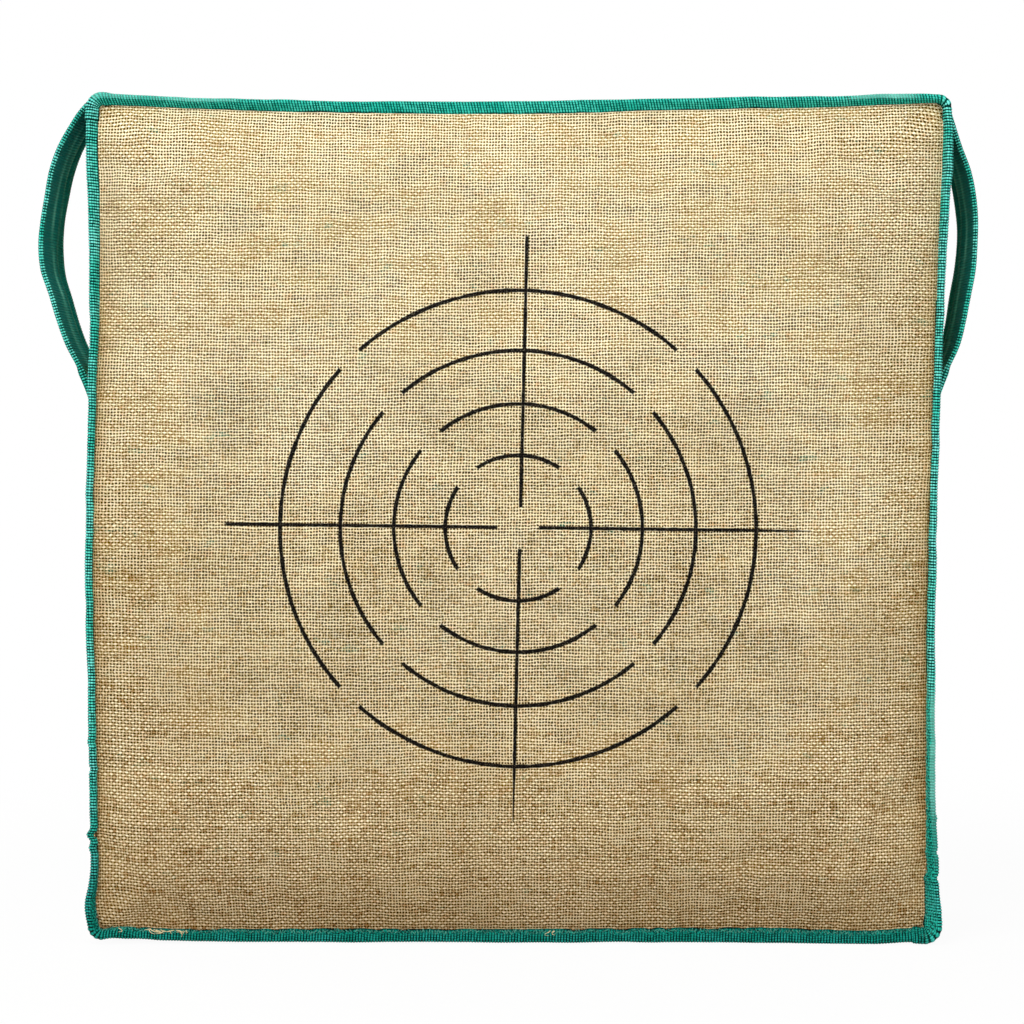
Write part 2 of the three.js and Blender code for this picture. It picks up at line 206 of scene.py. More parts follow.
def bump(height, distance, socket):
    made = node(tree_of(height), "ShaderNodeBump", dict(Strength=1.0, Distance=distance, Height=height))
    wire(made, socket)

# %% [markdown]
# Camera, floor and light.
# The photo looks straight at the printed face from about 1.7 m, level with the bull. The floor and the
# world could be lit until they turn white, but that would bleach the cloth as well. So the lamps stay
# gentle, and the Light Path node makes both white only where the camera sees them.

# %% Camera, floor and light
scene = bpy.context.scene
scene.view_settings.view_transform = "Standard"
camera_away, camera_height = 1775, 301.7
camera_data = bpy.data.cameras.new("camera")
camera_data.sensor_width = 36
camera_data.lens = 85.4
camera = bpy.data.objects.new("camera", camera_data)
camera.location = (-1.4 * mm, -camera_away * mm, camera_height * mm)
camera.rotation_euler = (math.radians(90), 0, 0)
scene.collection.objects.link(camera)
scene.camera = camera


def lamp(name, place, aim, size, power):
    data = bpy.data.lights.new(name, "AREA")
    data.shape = "DISK"
    data.size = size
    data.energy = power
    made = bpy.data.objects.new(name, data)
    made.location = place
    direction = np.subtract(aim, place)
    flat = math.hypot(direction[0], direction[1])
    made.rotation_euler = (math.atan2(flat, -direction[2]), 0, math.atan2(-direction[0], direction[1]))
    scene.collection.objects.link(made)


lamp("key_lamp", (-0.6, -1.25, 2.1), (0, 0, 0.4), 1.3, 36)
lamp("fill_lamp", (1.3, -1.9, 1.1), (0, 0, 0.3), 1.6, 13)
lamp("rim_lamp", (-1.6, 1.8, 1.7), (0, 0, 0.3), 1.6, 18)


def seen_white(tree, lit, share, shader="ShaderNodeEmission"):
    """Mixes a shader with plain white where the camera, a mirror or glass sees it."""
    rays = tree.nodes.new("ShaderNodeLightPath").outputs
    kinds = ("Is Camera Ray", "Is Glossy Ray", "Is Transmission Ray")
    by_camera, by_mirror, by_glass = (Signal(rays[kind]) for kind in kinds)
    seen = calc("MAXIMUM", calc("MAXIMUM", by_camera, by_mirror), by_glass)
    white = node(tree, shader, dict(Color=(1, 1, 1, 1)))
    return node(tree, "ShaderNodeMixShader", (seen * share, lit, white))


world = bpy.data.worlds.new("studio")
scene.world = world
world.use_nodes = True
sky = world.node_tree.nodes["Background"]
sky.inputs["Color"].default_value = (0.98, 0.99, 1, 1)
sky.inputs["Strength"].default_value = 0.42
shown = seen_white(world.node_tree, Signal(sky.outputs[0]), 1, "ShaderNodeBackground")
wire(shown, world.node_tree.nodes["World Output"].inputs["Surface"])

floor_paint, floor_tree, paint = new_material("pale_floor", 0.9, 0.5)
paint["Base Color"].default_value = (0.82, 0.82, 0.81, 1)
away = node(floor_tree, "ShaderNodeVectorMath", [object_place(floor_tree)], "Value", operation="LENGTH")
shaded = Signal(floor_tree.nodes["Principled BSDF"].outputs[0])
shown = seen_white(floor_tree, shaded, between(away, 0.35, 1.3, 0.95, 1))
wire(shown, floor_tree.nodes["Material Output"].inputs["Surface"])
bpy.ops.mesh.primitive_plane_add(size=14)
floor = bpy.context.object
floor.name = "floor"
floor.data.materials.append(floor_paint)

# %% [markdown]
# The seam line.
# Face, gussets and tapes all meet on one line round the bag, so that line is written once, as lengths
# and turns, and every piece asks it for places. A drawn curve would do too, but a formula can also say
# how far in from the seam a point lies, which the stuffed faces need.

# %% The seam line and how the bag has settled
corner_arc = corner_radius * math.pi / 2
side_runs = [bag_half_width * 2 - 2 * corner_radius, bag_height - 2 * corner_radius] * 2
lengths, angles = [0, corner_arc / 2], [135, 90]
for index, run in enumerate(side_runs):
    last = index == len(side_runs) - 1
    lengths += [lengths[-1] + run, lengths[-1] + run + corner_arc * (0.5 if last else 1)]
    angles += [angles[-1], angles[-1] - (45 if last else 90)]
seam_length = lengths[-1]
quarters = [0]
for run in side_runs:
    quarters.append(quarters[-1] + run + corner_arc)

fine = np.linspace(0, seam_length, 20001)
fine_angle = np.radians(np.interp(fine, lengths, angles))
step = fine[1] - fine[0]
start_x = -(bag_half_width - corner_radius) - corner_radius * math.sqrt(0.5)
start_z = seam_top - corner_radius + corner_radius * math.sqrt(0.5)
middle_sin = np.sin((fine_angle[1:] + fine_angle[:-1]) / 2)
middle_cos = np.cos((fine_angle[1:] + fine_angle[:-1]) / 2)
fine_x = start_x + np.concatenate([[0], np.cumsum(middle_sin)]) * step
fine_z = start_z - np.concatenate([[0], np.cumsum(middle_cos)]) * step


def smooth(t):
    t = np.clip(t, 0, 1)
    return t * t * (3 - 2 * t)


def wander(places, pitch, seed):
    """Smooth chance from -1 to 1 that changes over about one pitch."""
    knots = np.random.default_rng(seed).uniform(-1, 1, 1024)
    at = np.asarray(places, float) / pitch
    low = np.floor(at).astype(int)
    share = smooth(at - low)
    return knots[low % 1024] * (1 - share) + knots[(low + 1) % 1024] * share


def rise(distance, run):
    return 1 - (1 - np.clip(distance / run, 0, 1)) ** rise_power


def height_share(z):
    return np.clip((z - seam_bottom) / bag_height, 0, 1)


def crown(face, x, z):
    height = face["crown_low"] + (face["crown_high"] - face["crown_low"]) * height_share(z)
    edges = rise(bag_half_width - np.abs(x), edge_run) * rise(seam_top - z, edge_run)
    return height * edges * rise(z - seam_bottom, face["foot_run"])


def settled(x, y, z):
    """Moves points of the square bag to where the settled bag has them."""
    up = height_share(z)
    share = np.clip(x / bag_half_width, -1, 1)
    right = -2.5 + 9.5 * up**3
    left = 1.6 * np.cos(2 * np.pi * (up - 0.5) / 0.85)
    moved = x + (x / bag_half_width) * np.where(share > 0, right, left)
    return np.stack(np.broadcast_arrays(moved, y, z - 6 * up**2 * (1 - share**4)), -1)


# How the front seam is pinched outwards, how its flange leans, and how much wider the tape stands there:
# share of the side, pinch, lean and spare width, for the top, right, foot and left side in turn
front_knots = [
    [
        (0, 1.5, 48, 0), (0.05, 2.1, 46, 0), (0.13, 1.9, 43, 0), (0.2, 1.4, 38, 0), (0.29, 0, 12, 0),
        (0.44, -0.7, 4, 0.6), (0.53, -0.7, 2, 1.2), (0.6, 0.8, 16, 0.6), (0.65, 2.1, 30, 0),
        (0.77, 3.5, 38, 0), (0.85, 3.2, 45, 0), (0.93, 3.6, 48, 0), (0.98, 3.6, 68, 0),
    ],
    [
        (0, 3.6, 82, 0), (0.03, 4.4, 72, 0), (0.08, 4.4, 62, 0), (0.14, 4.4, 70, 0), (0.17, 4.4, 83, 0),
        (0.27, 5, 92, 0), (0.33, 5.2, 98, 0), (0.44, 4.9, 98, 0), (0.5, 2.9, 88, 0), (0.6, 1.8, 84, 0),
        (0.7, 1.5, 81, 0), (0.77, 0.7, 70, 0), (0.83, 0.1, 66, 0), (0.89, 0.2, 56, 0.4), (0.92, 0.4, 52, 1.2),
        (0.95, -0.9, 44, 2.5), (0.98, -0.6, 38, 3.5),
    ],
    [
        (0, -0.8, 38, 3), (0.025, 0, 44, 1.5), (0.055, 0.4, 25, 1), (0.085, 0.8, 10, 0.8), (0.115, 0, 4, 1.5),
        (0.175, -1.4, 4, 2.2), (0.235, -2.1, 4, 2.5), (0.355, -1.4, 6, 1.2), (0.475, -0.7, 6, 1.2),
        (0.565, -0.7, 8, 0.8), (0.715, -1.4, 4, 1.3), (0.8, -0.7, 8, 0.5), (0.925, -0.8, 10, 0),
        (0.955, -2.1, 14, 0), (0.985, -1, 52, 0),
    ],
    [
        (0, 1.4, 64, 0.5), (0.02, 3.4, 62, 1), (0.035, 4.2, 66, 1), (0.055, 3.4, 80, 0), (0.08, 3.8, 90, 0),
        (0.12, 4.4, 94, 0), (0.5, 4.7, 95, 0), (0.575, 3.9, 94, 0), (0.6, 3.3, 94, 0), (0.625, 2.8, 95, 0),
        (0.65, 2.4, 84, 0), (0.68, 1.7, 74, 0), (0.71, 1, 72, 0),
        (0.74, 0.3, 70, 0), (0.77, 0.1, 57, 0), (0.83, 0.2, 49, 0), (0.865, 0.3, 42, 0), (0.895, 0.2, 34, 0),
        (0.92, 0.8, 28, 0), (0.96, 1.7, 28, 0),
    ],
]
knot_rows = np.array([
    (quarters[side] + share * (quarters[side + 1] - quarters[side]), *values)
    for side, knots in enumerate(front_knots)
    for share, *values in knots
])
soft_half = 80
softening = np.hanning(2 * soft_half + 1)
softening /= softening.sum()
front_shape = []
for column in (1, 2, 3):
    drawn = np.interp(fine, knot_rows[:, 0], knot_rows[:, column], period=seam_length)
    wrapped = np.concatenate([drawn[-soft_half - 1 : -1], drawn, drawn[1 : soft_half + 1]])
    front_shape.append(np.convolve(wrapped, softening, mode="valid"))

# Puckers of the tape low on both sides: length along the seam, push outwards and width
puckers = [
    (quarters[1] + 497, 0.9, 2.2), (quarters[1] + 521, -1.2, 2), (quarters[1] + 539, -1.4, 2.4),
    (quarters[3] + 57, 1.3, 2.6), (quarters[3] + 66, 2.6, 2.8), (quarters[3] + 112, -1.1, 2.2),
    (quarters[3] + 131, 0.8, 2.4),
]


def puckered(s):
    return sum(push * np.exp(-(((s - at) / width) ** 2)) for at, push, width in puckers)


def seam_at(s):
    """The seam at a length s, clockwise from the upper left: place, normal, swell, run and front shape."""
    s = np.mod(s, seam_length)
    angle = np.radians(np.interp(s, lengths, angles))
    x, z = np.interp(s, fine, fine_x), np.interp(s, fine, fine_z)
    nx, nz = np.cos(angle), np.sin(angle)
    side, top, foot = nx**2, np.clip(nz, 0, 1) ** 2, np.clip(-nz, 0, 1) ** 2
    pinch, lean, wider = (np.interp(s, fine, drawn) for drawn in front_shape)
    return dict(
        s=s, x=x, z=z, nx=nx, nz=nz, pinch=pinch + puckered(s), lean=np.radians(lean), wider=wider,
        swell=side * 2.5 + top * 5 + foot * 9, run=(side + top) * 75 + foot * 34,
    )


def unwrapped(s):
    """The seam with s as it was given, so that waves run on past the corner where s starts again."""
    return dict(seam_at(s), s=s)


print("seam", round(seam_length), "mm round, corners at", [round(q) for q in quarters])

# %% [markdown]
# The flange.
# The seam allowances of face and gusset stand up together inside the tape. Near the sides they lean
# forward, along the top and bottom they stand almost in the plane of the face, as in the photo.
# Points of it are asked for by two lengths: along it from the seam, and off its middle surface.

# %% Points of the flange and of the bends beside it
rear_lean = math.radians(42)


def lean_of(face, place):
    if face["sign"] > 0:
        return rear_lean + np.radians(4) * wander(place["s"], 55, 11)
    slow, quick = (np.radians(3) * wander(place["s"], pitch, seed) for pitch, seed in ((38, 12), (13, 13)))
    return place["lean"] + slow + quick


def pinch_of(face, place):
    return place["pinch"] if face["sign"] < 0 else 0 * place["x"]


def flange(face, place, along, off):
    lean = lean_of(face, place)
    out = np.cos(lean) * along - np.sin(lean) * off + pinch_of(face, place)
    forward = np.sin(lean) * along + np.cos(lean) * off
    y = face["sign"] * (half_depth + forward)
    return settled(place["x"] + place["nx"] * out, y, place["z"] + place["nz"] * out)


def towards_middle(place, share):
    middle = (seam_bottom + seam_top) / 2
    return place["x"] * share, middle + (place["z"] - middle) * share


def face_slope(face, place):
    x, z = towards_middle(place, 0.985)
    return np.arctan2(crown(face, x, z), np.hypot(place["x"] - x, place["z"] - z))


def bend(face, place, off, bearing, half_angle):
    reach = off / np.sin(half_angle)
    out = np.cos(bearing) * reach + pinch_of(face, place)
    y = face["sign"] * (half_depth + np.sin(bearing) * reach)
    return settled(place["x"] + place["nx"] * out, y, place["z"] + place["nz"] * out)


def face_bend(face, place, off):
    slope, lean = face_slope(face, place), lean_of(face, place)
    return bend(face, place, off, (np.pi - slope + lean) / 2, (np.pi - slope - lean) / 2)


# %% [markdown]
# Meshes and how they are finished.
# Every cloth starts as a grid of points, because cloth is woven on a grid and a simulation likes even
# squares. A helper turns such a grid into a mesh and stores where each point lies on the flat cloth,
# so that the weave follows the piece. Another one bakes modifiers in, since later steps need plain meshes.

# %% Helpers for grids, attributes and modifiers
def add_attribute(mesh, name, values):
    kind = "FLOAT_VECTOR" if values.ndim == 2 else "FLOAT"
    made = mesh.attributes.new(name, kind, "POINT")
    made.data.foreach_set("vector" if values.ndim == 2 else "value", values.astype(np.float32).ravel())


def piece(name, points, faces, material, **attributes):
    """A smooth mesh object from points in millimetres."""
    mesh = bpy.data.meshes.new(name)
    faces = faces if isinstance(faces, list) else faces.tolist()
    mesh.from_pydata((np.asarray(points, float) * mm).tolist(), [], faces)
    for label, values in attributes.items():
        add_attribute(mesh, label, np.asarray(values, float))
    mesh.polygons.foreach_set("use_smooth", [True] * len(mesh.polygons))
    mesh.materials.append(material)
    mesh.update()
    made = bpy.data.objects.new(name, mesh)
    scene.collection.objects.link(made)
    return made


def grid_faces(rows, columns, closed=False):
    """Quads of a grid whose points are numbered row by row."""
    count = columns if closed else columns - 1
    row, column = np.meshgrid(np.arange(rows - 1), np.arange(count), indexing="ij")
    a = row * columns + column
    b = row * columns + (column + 1) % columns
    return np.stack([a, b, b + columns, a + columns], -1).reshape(-1, 4)


def baked(obj, *modifiers):
    """Adds modifiers given as (kind, values), applies them all and leaves a plain mesh."""
    for kind, values in modifiers:
        made = obj.modifiers.new(kind.lower(), kind)
        for label, value in values.items():
            setattr(made, label, value)
    evaluated = obj.evaluated_get(bpy.context.evaluated_depsgraph_get())
    mesh = bpy.data.meshes.new_from_object(evaluated)
    obj.modifiers.clear()
    old = obj.data
    obj.data = mesh
    mesh.name = obj.name
    bpy.data.meshes.remove(old)
    return obj


def points_of(obj):
    found = np.zeros(len(obj.data.vertices) * 3, np.float32)
    obj.data.vertices.foreach_get("co", found)
    return found.reshape(-1, 3).astype(float) / mm


def run_along(points):
    """Length along each line of points up to each of its points."""
    steps = np.linalg.norm(np.diff(points, axis=-2), axis=-1)
    return np.insert(np.cumsum(steps, -1), 0, 0, -1)


def unit(vectors):
    return vectors / np.linalg.norm(vectors, axis=-1, keepdims=True)


# %% [markdown]
# Plain weave.
# Hessian is one thread over, one under, about twelve to the inch, with gaps between the threads. Real
# threads for a whole bag would be millions of faces, so the weave is a node group: it counts threads on
# the flat cloth, bows them a little, thickens some into slubs, and says which one is on top.

# %% Weave group
def weave_group():
    tree, given, result = new_group(
        "PlainWeave", "Shader",
        [
            ("Cloth", "Vector"), ("Warp pitch", "Float", 2.05 * mm), ("Weft pitch", "Float", 2.17 * mm),
            ("Wander", "Float", 0.9 * mm), ("Warp width", "Float", 0.43), ("Weft width", "Float", 0.54),
            ("Openness", "Float", 0.0),
        ],
        [(label, "Float") for label in ("Height", "Gap", "Tone", "Weft", "Near gap", "Own gap")],
    )
    u, v, _ = parts(given["Cloth"])
    drifts = parts(noise(given["Cloth"], 26, 4, 0.62, "Color"))
    sides = []
    for index, (place, pitch) in enumerate(((u, given["Warp pitch"]), (v, given["Weft pitch"]))):
        quick = noise(vector(u, v, 0.1 + index), 340.0, 1.0)
        moved = calc("MULTIPLY_ADD", drifts[index] - 0.5, given["Wander"] * 3.0, place)
        moved = calc("MULTIPLY_ADD", quick - 0.5, 1.2 * mm, moved)
        counted = moved / pitch
        number = calc("FLOOR", counted)
        sides.append((number, counted - number - 0.5, calc("ROUND", counted)))
    (warp_number, warp_within, gap_column), (weft_number, weft_within, gap_row) = sides
    odd = calc("MODULO", abs(warp_number + weft_number), 2.0)
    sign = odd * -2.0 + 1.0
    threads = []
    for number, within, other, along, seed, over, full, base, lumpy in (
        (warp_number, warp_within, weft_within, v, 0.37, 0.35, given["Warp width"], 0.46, 0.2),
        (weft_number, weft_within, warp_within, u, 61.7, -0.3, given["Weft width"], 0.5, 0.34),
    ):
        own = chance(number + seed)
        slub = noise(vector(along * 62.0, calc("MULTIPLY_ADD", number, 5.31, seed)), 1.0, 2.0, 0.6)
        width = full + (own - 0.5) * 0.08 + (slub - 0.5) * lumpy + given["Openness"] * -0.2
        across = within * 2.0 / width
        round_top = calc("SQRT", calc("SUBTRACT", 1.0, across * across, clamp=True))
        there = between(abs(across), 0.86, 1.0, 1.0, 0.0)
        crimp = calc("COSINE", other * math.pi) * (sign * over)
        lift = (round_top * 0.5 + base + crimp) * there
        threads.append((lift, there, (own - 0.5) * 0.14 + 0.5 + (slub - 0.5) * (2 * lumpy)))
    (lift_a, there_a, tone_a), (lift_b, there_b, tone_b) = threads
    weft_on_top = calc("GREATER_THAN", lift_b, lift_a)
    crossing = chance(calc("MULTIPLY_ADD", warp_number, 57.3, weft_number))
    wire(calc("MAXIMUM", lift_a, lift_b), result["Height"])
    wire(1.0 - calc("MAXIMUM", there_a, there_b), result["Gap"])
    wire((tone_b - tone_a) * weft_on_top + tone_a + (crossing - 0.5) * 0.32, result["Tone"])
    wire(weft_on_top, result["Weft"])
    wire(abs(warp_within * weft_within * 4.0), result["Near gap"])
    wire(chance(calc("MULTIPLY_ADD", gap_column, 41.7, gap_row)), result["Own gap"])
    return tree


plain_weave = weave_group()
print("weave group", len(plain_weave.nodes), "nodes")

# %% [markdown]
# Hessian.
# Jute is straw-coloured, each thread its own shade, with painted shade, nearly black, down in the gaps, and
# the green lining glints through in patches. The printed face has a reticle in thin black ink, which sits on
# the thread tops only. The ink could be a decal on a second sheet; as a mask in the same material it stays as
# thin as ink and keeps the weave.

# %% Hessian group
def hessian_group():
    tree, given, result = new_group(
        "Hessian", "Shader",
        [("Cloth", "Vector"), ("Ink", "Float", 0.0), ("Flecks", "Float", 1.0), ("Strain", "Float", 1.0)],
        [("Color", "Color"), ("Height", "Float")],
    )
    cloth, ink, strain = given["Cloth"], given["Ink"], given["Strain"]
    u, v, _ = parts(cloth)
    beside_middle = abs(u)
    stretched = vector(u * 0.55, v)
    patch = noise(stretched, 40.0, 4.0, 0.65)
    cloud = noise(cloth, 7.0, 3.0, 0.55)
    tint = noise(cloth, 150.0, 3.0, 0.65)
    fuzz = noise(cloth, 1500.0, 2.0, 0.6)

    # Where the stuffing pulls the weave open, and where it sits tight
    strained = between(v, -0.215, -0.11, -0.6, 0.5) + between(v, 0.05, 0.17, 0.0, -0.5)
    strained = strained + between(beside_middle, 0.18, 0.265, 0.1, -0.8) * between(v, -0.05, 0.2, 1.0, 0.5)
    strained = strained * strain
    open_here = strained * 0.5 + between(patch, 0.34, 0.68, -0.3, 0.3)
    tight = between(open_here, 0.05, -0.3)
    weave = use_group(tree, plain_weave, Cloth=cloth, Openness=open_here)

    # Straw colours: dull threads, pale ones, paler ones, painted light that makes the cloth paler higher up,
    # and brown and green tints
    thread = mix(tight, colour(218, 190, 138), colour(182, 144, 88))
    for share, tone in (
        (between(weave["Tone"], 0.2, 0.5), (252, 236, 196)),
        (between(weave["Tone"], 0.45, 0.75), (254, 242, 208)),
        (between(v, -0.06, 0.2, 0.0, 0.42), (253, 240, 206)),
        (between(tint, 0.54, 0.74, 0.0, 0.5), (236, 184, 122)),
        (between(tint, 0.46, 0.28, 0.0, 0.3), (220, 216, 160)),
    ):
        thread = mix(share, thread, colour(*tone))

    # Light on the thread tops and dusk between them, stronger where the weave is tight
    lit = calc("DIVIDE", weave["Height"] - 0.42, 0.88, clamp=True)
    shade = lit * (tight * 0.88 + 0.3) + (tight * -0.58 + 0.83)
    shade = calc("MINIMUM", shade, between(v, -0.2, -0.05, 1.45, 1.2))
    # Painted shade, slightly darker towards the left and right seams
    shade = shade * (between(beside_middle, 0.2, 0.27, 0.0, -0.03) * strain + 1.0)
    shade = shade * ((1.0 - weave["Weft"]) * tight * -0.28 + 1.0)
    shade = shade * between(fuzz, 0.25, 0.75, 0.84, 1.12) * between(cloud, 0.3, 0.7, 0.94, 1.04)
    thread = times(thread, warmed(shade, 1.22, 1.75))
    thread = mix(between(weave["Near gap"], 0.08, 0.42), thread, times(thread, colour(244, 222, 162)))

    # Gaps: painted shade, brown or nearly black, green where the lining shows, and inked over by the print
    fleck = noise(stretched, 75.0, 4.0, 0.7)
    lining_seen = between(fleck, 0.6, 0.71) * given["Flecks"]
    thread = mix(lining_seen * 0.2, thread, colour(110, 165, 130))
    depth = between(abs(strained) * 0.3 + patch, 0.4, 0.62)
    depth = calc("MULTIPLY", depth, weave["Own gap"] * 0.9 + 0.45, clamp=True)
    deep = mix(depth, colour(116, 88, 18), colour(56, 40, 0))
    deep = mix(ink, mix(lining_seen, deep, colour(14, 88, 70)), colour(14, 12, 12))
    cover = mix(ink * between(fuzz, 0.56, 0.76, 1.0, 0.66), thread, colour(14, 13, 15))
    whole = mix(weave["Gap"], cover, deep)

    # Painted shade along the seams, where the tape's edge shadows the cloth, browner there, less so above and
    # in the lowest corners
    rim = calc("MAXIMUM", beside_middle, v * -1.0)
    painted_light_tint = between(rim, 0.274, 0.291) * between(v, 0.08, 0.25, 1.0, 0.3) * strain
    painted_light_tint = painted_light_tint * between(v, -0.29, -0.2, 0.35, 1.0)
    wire(mix(painted_light_tint, whole, times(whole, colour(226, 208, 184))), result["Color"])
    wire(fuzz * 0.18 + weave["Height"], result["Height"])
    return tree


hessian = hessian_group()

# %% Reticle group
ring_radii = (50.2, 85.6, 122.6, 164.3)
bull_x, bull_z = 2.8, 290.6
ring_half, arm_half, bar_half = 1.65, 1.5, 12.6
arm_start, arm_end = 13.6, 201
ink_edge = 0.5 * mm


def reticle_group():
    tree, given, result = new_group("Reticle", "Shader", [("Place", "Vector")], [("Ink", "Float")])
    x, _, z = parts(given["Place"])
    rough = noise(given["Place"], 130.0, 3.0, 0.6)
    grain = noise(given["Place"], 900.0, 2.0, 0.6)
    dx, dz = x - bull_x * mm, z - bull_z * mm
    away = calc("SQRT", dx * dx + dz * dz)
    nearest = abs(away - ring_radii[0] * mm)
    for radius in ring_radii[1:]:
        nearest = calc("MINIMUM", nearest, abs(away - radius * mm))
    ring_width = (rough - 0.5) * (1.6 * mm) + ring_half * mm
    # Stencil bars hold the rings on both diagonals
    off_bars = between(abs(abs(dx) - abs(dz)), bar_half * mm, (bar_half + 1) * mm)
    ink = calc("DIVIDE", ring_width - nearest, ink_edge, clamp=True) * off_bars
    for along, across, slope, thin_end in (
        (dz, dx - 1.4 * mm, 0.0242, -1.0),
        (dx, dz - 0.4 * mm, -0.0125, 1.0),
    ):
        line, reach = abs(along * -slope + across), abs(along)
        taper = between(along * thin_end, 150 * mm, 204 * mm, 1.0, 0.45)
        width = ((rough - 0.5) * (1.2 * mm) + arm_half * mm) * taper
        arm = calc("DIVIDE", width - line, ink_edge, clamp=True)
        arm = arm * between(reach, arm_start * mm, (arm_start + 1.2) * mm)
        ink = calc("MAXIMUM", ink, arm * between(reach, arm_end * mm, (arm_end + 2.5) * mm, 1.0, 0.0))
    wire(ink * between(grain, 0.2, 0.45, 0.82, 1.0), result["Ink"])
    return tree


reticle = reticle_group()


def hessian_material(name, printed, flecks, strain):
    made, tree, shader = new_material(name, 0.92, 0.03)
    place = object_place(tree)
    ink = use_group(tree, reticle, Place=place)["Ink"] if printed else 0.0
    cloth = attribute(tree, "cloth", "Vector")
    found = use_group(tree, hessian, Cloth=cloth, Ink=ink, Flecks=flecks, Strain=strain)
    _, _, z = parts(place)
    # Painted shade: darker towards the bottom and most at the foot, with blotches of soil over it
    soil = noise(place, 11.0, 4.0, 0.6)
    worn = between(z, 0.0, 0.1, 0.8, 1.0) * between(soil, 0.3, 0.7, 0.95, 1.04)
    worn = worn * between(z, 0.0, 0.46, 0.8, 1.0)
    wire(times(found["Color"], warmed(worn, 1.26, 1.5)), shader["Base Color"])
    bump(found["Height"], 0.45 * mm, shader["Normal"])
    return made


printed_hessian = hessian_material("printed_hessian", True, 1.0, 1.0)
plain_hessian = hessian_material("plain_hessian", False, 0.5, 0.0)

# %% [markdown]
# Tape, lining, thread and foam.
# The tape is a ribbed upholstery webbing. Its ribs are real relief in the mesh, so the material adds
# the fine warp threads across them, painted highlight on the crests and on the fold, painted shade in
# the furrows, tufts where the needle went through, a line of painted shade along its edge on the cloth
# and painted shade low down, of which the right side has least. A photo of tape would be
# quicker, but it would not follow the ribs of the mesh.

# %% Tape, lining, thread and foam materials
rib_pitch = 2.02
lane_pitch = 1.7
painted_shade_heights = (0.012, 0.16)


def tape_material():
    made, tree, shader = new_material("ribbed_tape", 0.55, 0.05)
    place = object_place(tree)
    x, _, z = parts(place)
    along, across, _ = parts(attribute(tree, "tape", "Vector"))
    count, lanes = along / (rib_pitch * mm), across / (lane_pitch * mm)
    rib, lane = (abs(calc("SINE", places * math.pi)) for places in (count, lanes))
    rib_number, lane_number = calc("FLOOR", count), calc("FLOOR", lanes)
    own = chance(calc("MULTIPLY_ADD", lane_number, 57.3, rib_number))
    bead = rib * (lane * 0.5 + 0.5) + (own - 0.5) * 0.3 + (chance(rib_number) - 0.5) * 0.08
    cloud = noise(place, 40.0, 4.0, 0.65)
    crisp = between(attribute(tree, "ribbed"), 0.45, 1.3)

    def toned(soft, sharp):
        return mix(crisp, colour(*soft), colour(*sharp))

    # Painted shade in the furrow up to painted highlight on the crest of a rib, with more contrast where the
    # ribs stand high
    crest = toned((40, 196, 172), (70, 228, 204))
    crest = mix(between(cloud, 0.35, 0.65), crest, toned((84, 224, 202), (140, 255, 244)))
    body = mix(between(bead, 0.5, 0.82), toned((0, 150, 128), (0, 134, 114)), crest)
    body = mix(between(bead, 0.2, 0.6), toned((0, 82, 70), (0, 36, 34)), body)

    # Painted highlight on the fold, painted shade, tufts from the needle, and painted shade along the edge on
    # the cloth
    painted_light_tint = mix(between(cloud, 0.3, 0.7), colour(96, 184, 166), colour(138, 220, 202))
    body = mix(attribute(tree, "worn") * 0.85, body, painted_light_tint)
    body = mix(attribute(tree, "dim"), body, colour(0, 110, 106))
    tuft = noise(vector(across * 0.8 + along, across * 1.6), 620.0, 2.0, 0.6)
    rough = attribute(tree, "rough")
    body = mix(rough, body, mix(between(tuft, 0.45, 0.57), colour(0, 46, 40), colour(62, 236, 208)))
    body = mix(attribute(tree, "edge"), body, colour(0, 40, 30))

    # Painted shade low down, least on the right side
    right_side_light = between(x, 0.283, 0.289, 0.0, 0.64)
    painted_light_level = calc("MAXIMUM", between(z, *painted_shade_heights, 0.4, 0.9), right_side_light)
    painted_light_level_red = calc("MAXIMUM", between(z, *painted_shade_heights, 0.1, 0.9), right_side_light * 0.6)
    wire(times(body, vector(painted_light_level_red, painted_light_level, painted_light_level)), shader["Base Color"])
    bump(mix(rough, bead, tuft), 0.35 * mm, shader["Normal"])
    return made


def plain_material(name, tone, deep, roughness, scale, foot=1.0):
    made, tree, shader = new_material(name, roughness)
    place = object_place(tree)
    grain = noise(place, scale, 3.0, 0.6)
    # Painted shade low down, as deep as the foot share
    painted_light_level = between(parts(place)[2], *painted_shade_heights, foot, 1.0)
    body = mix(between(grain, 0.3, 0.7), colour(*deep), colour(*tone))
    wire(times(body, vector(painted_light_level, painted_light_level, painted_light_level)), shader["Base Color"])
    bump(grain, 0.25 * mm, shader["Normal"])
    return made


ribbed_tape = tape_material()
lining_cloth = plain_material("lining", (92, 148, 128), (38, 92, 76), 0.85, 700.0)
core_foam = plain_material("core_foam", (96, 98, 100), (60, 62, 64), 0.95, 900.0)
green_thread = plain_material("green_thread", (120, 240, 214), (8, 108, 92), 0.6, 420.0, foot=0.5)
jute_thread = plain_material("jute_thread", (252, 236, 196), (206, 180, 130), 0.9, 900.0)
print("materials", len(bpy.data.materials))

# %% [markdown]
# The stuffed faces.
# A face is one cloth pulled over the core and caught all round in the seam. It could be a subdivided
# box, but cloth under strain has its own wrinkles. So a grid is laid on the crowned shape, held at the
# seam, and a short cloth simulation with a little too much cloth lets it wrinkle. Only the small
# wrinkles are kept: the crown itself is measured, and it must not change.

# %% Grid of a face
face_steps = 96
flange_rings = 2
hair = 1e-6


def square_to_seam(a, b):
    """Length along the seam for points on the rim of the square from -1 to 1."""
    on_top = (b >= np.abs(a)) & (b > 0)
    on_right = (a > np.abs(b)) & ~on_top
    on_foot = (-b >= np.abs(a)) & ~on_top & ~on_right
    share = np.where(on_top, a, np.where(on_right, -b, np.where(on_foot, -a, b)))
    side = np.where(on_top, 0, np.where(on_right, 1, np.where(on_foot, 2, 3)))
    low, high = np.take(quarters, side), np.take(quarters, side + 1)
    return low + (share + 1) / 2 * (high - low)


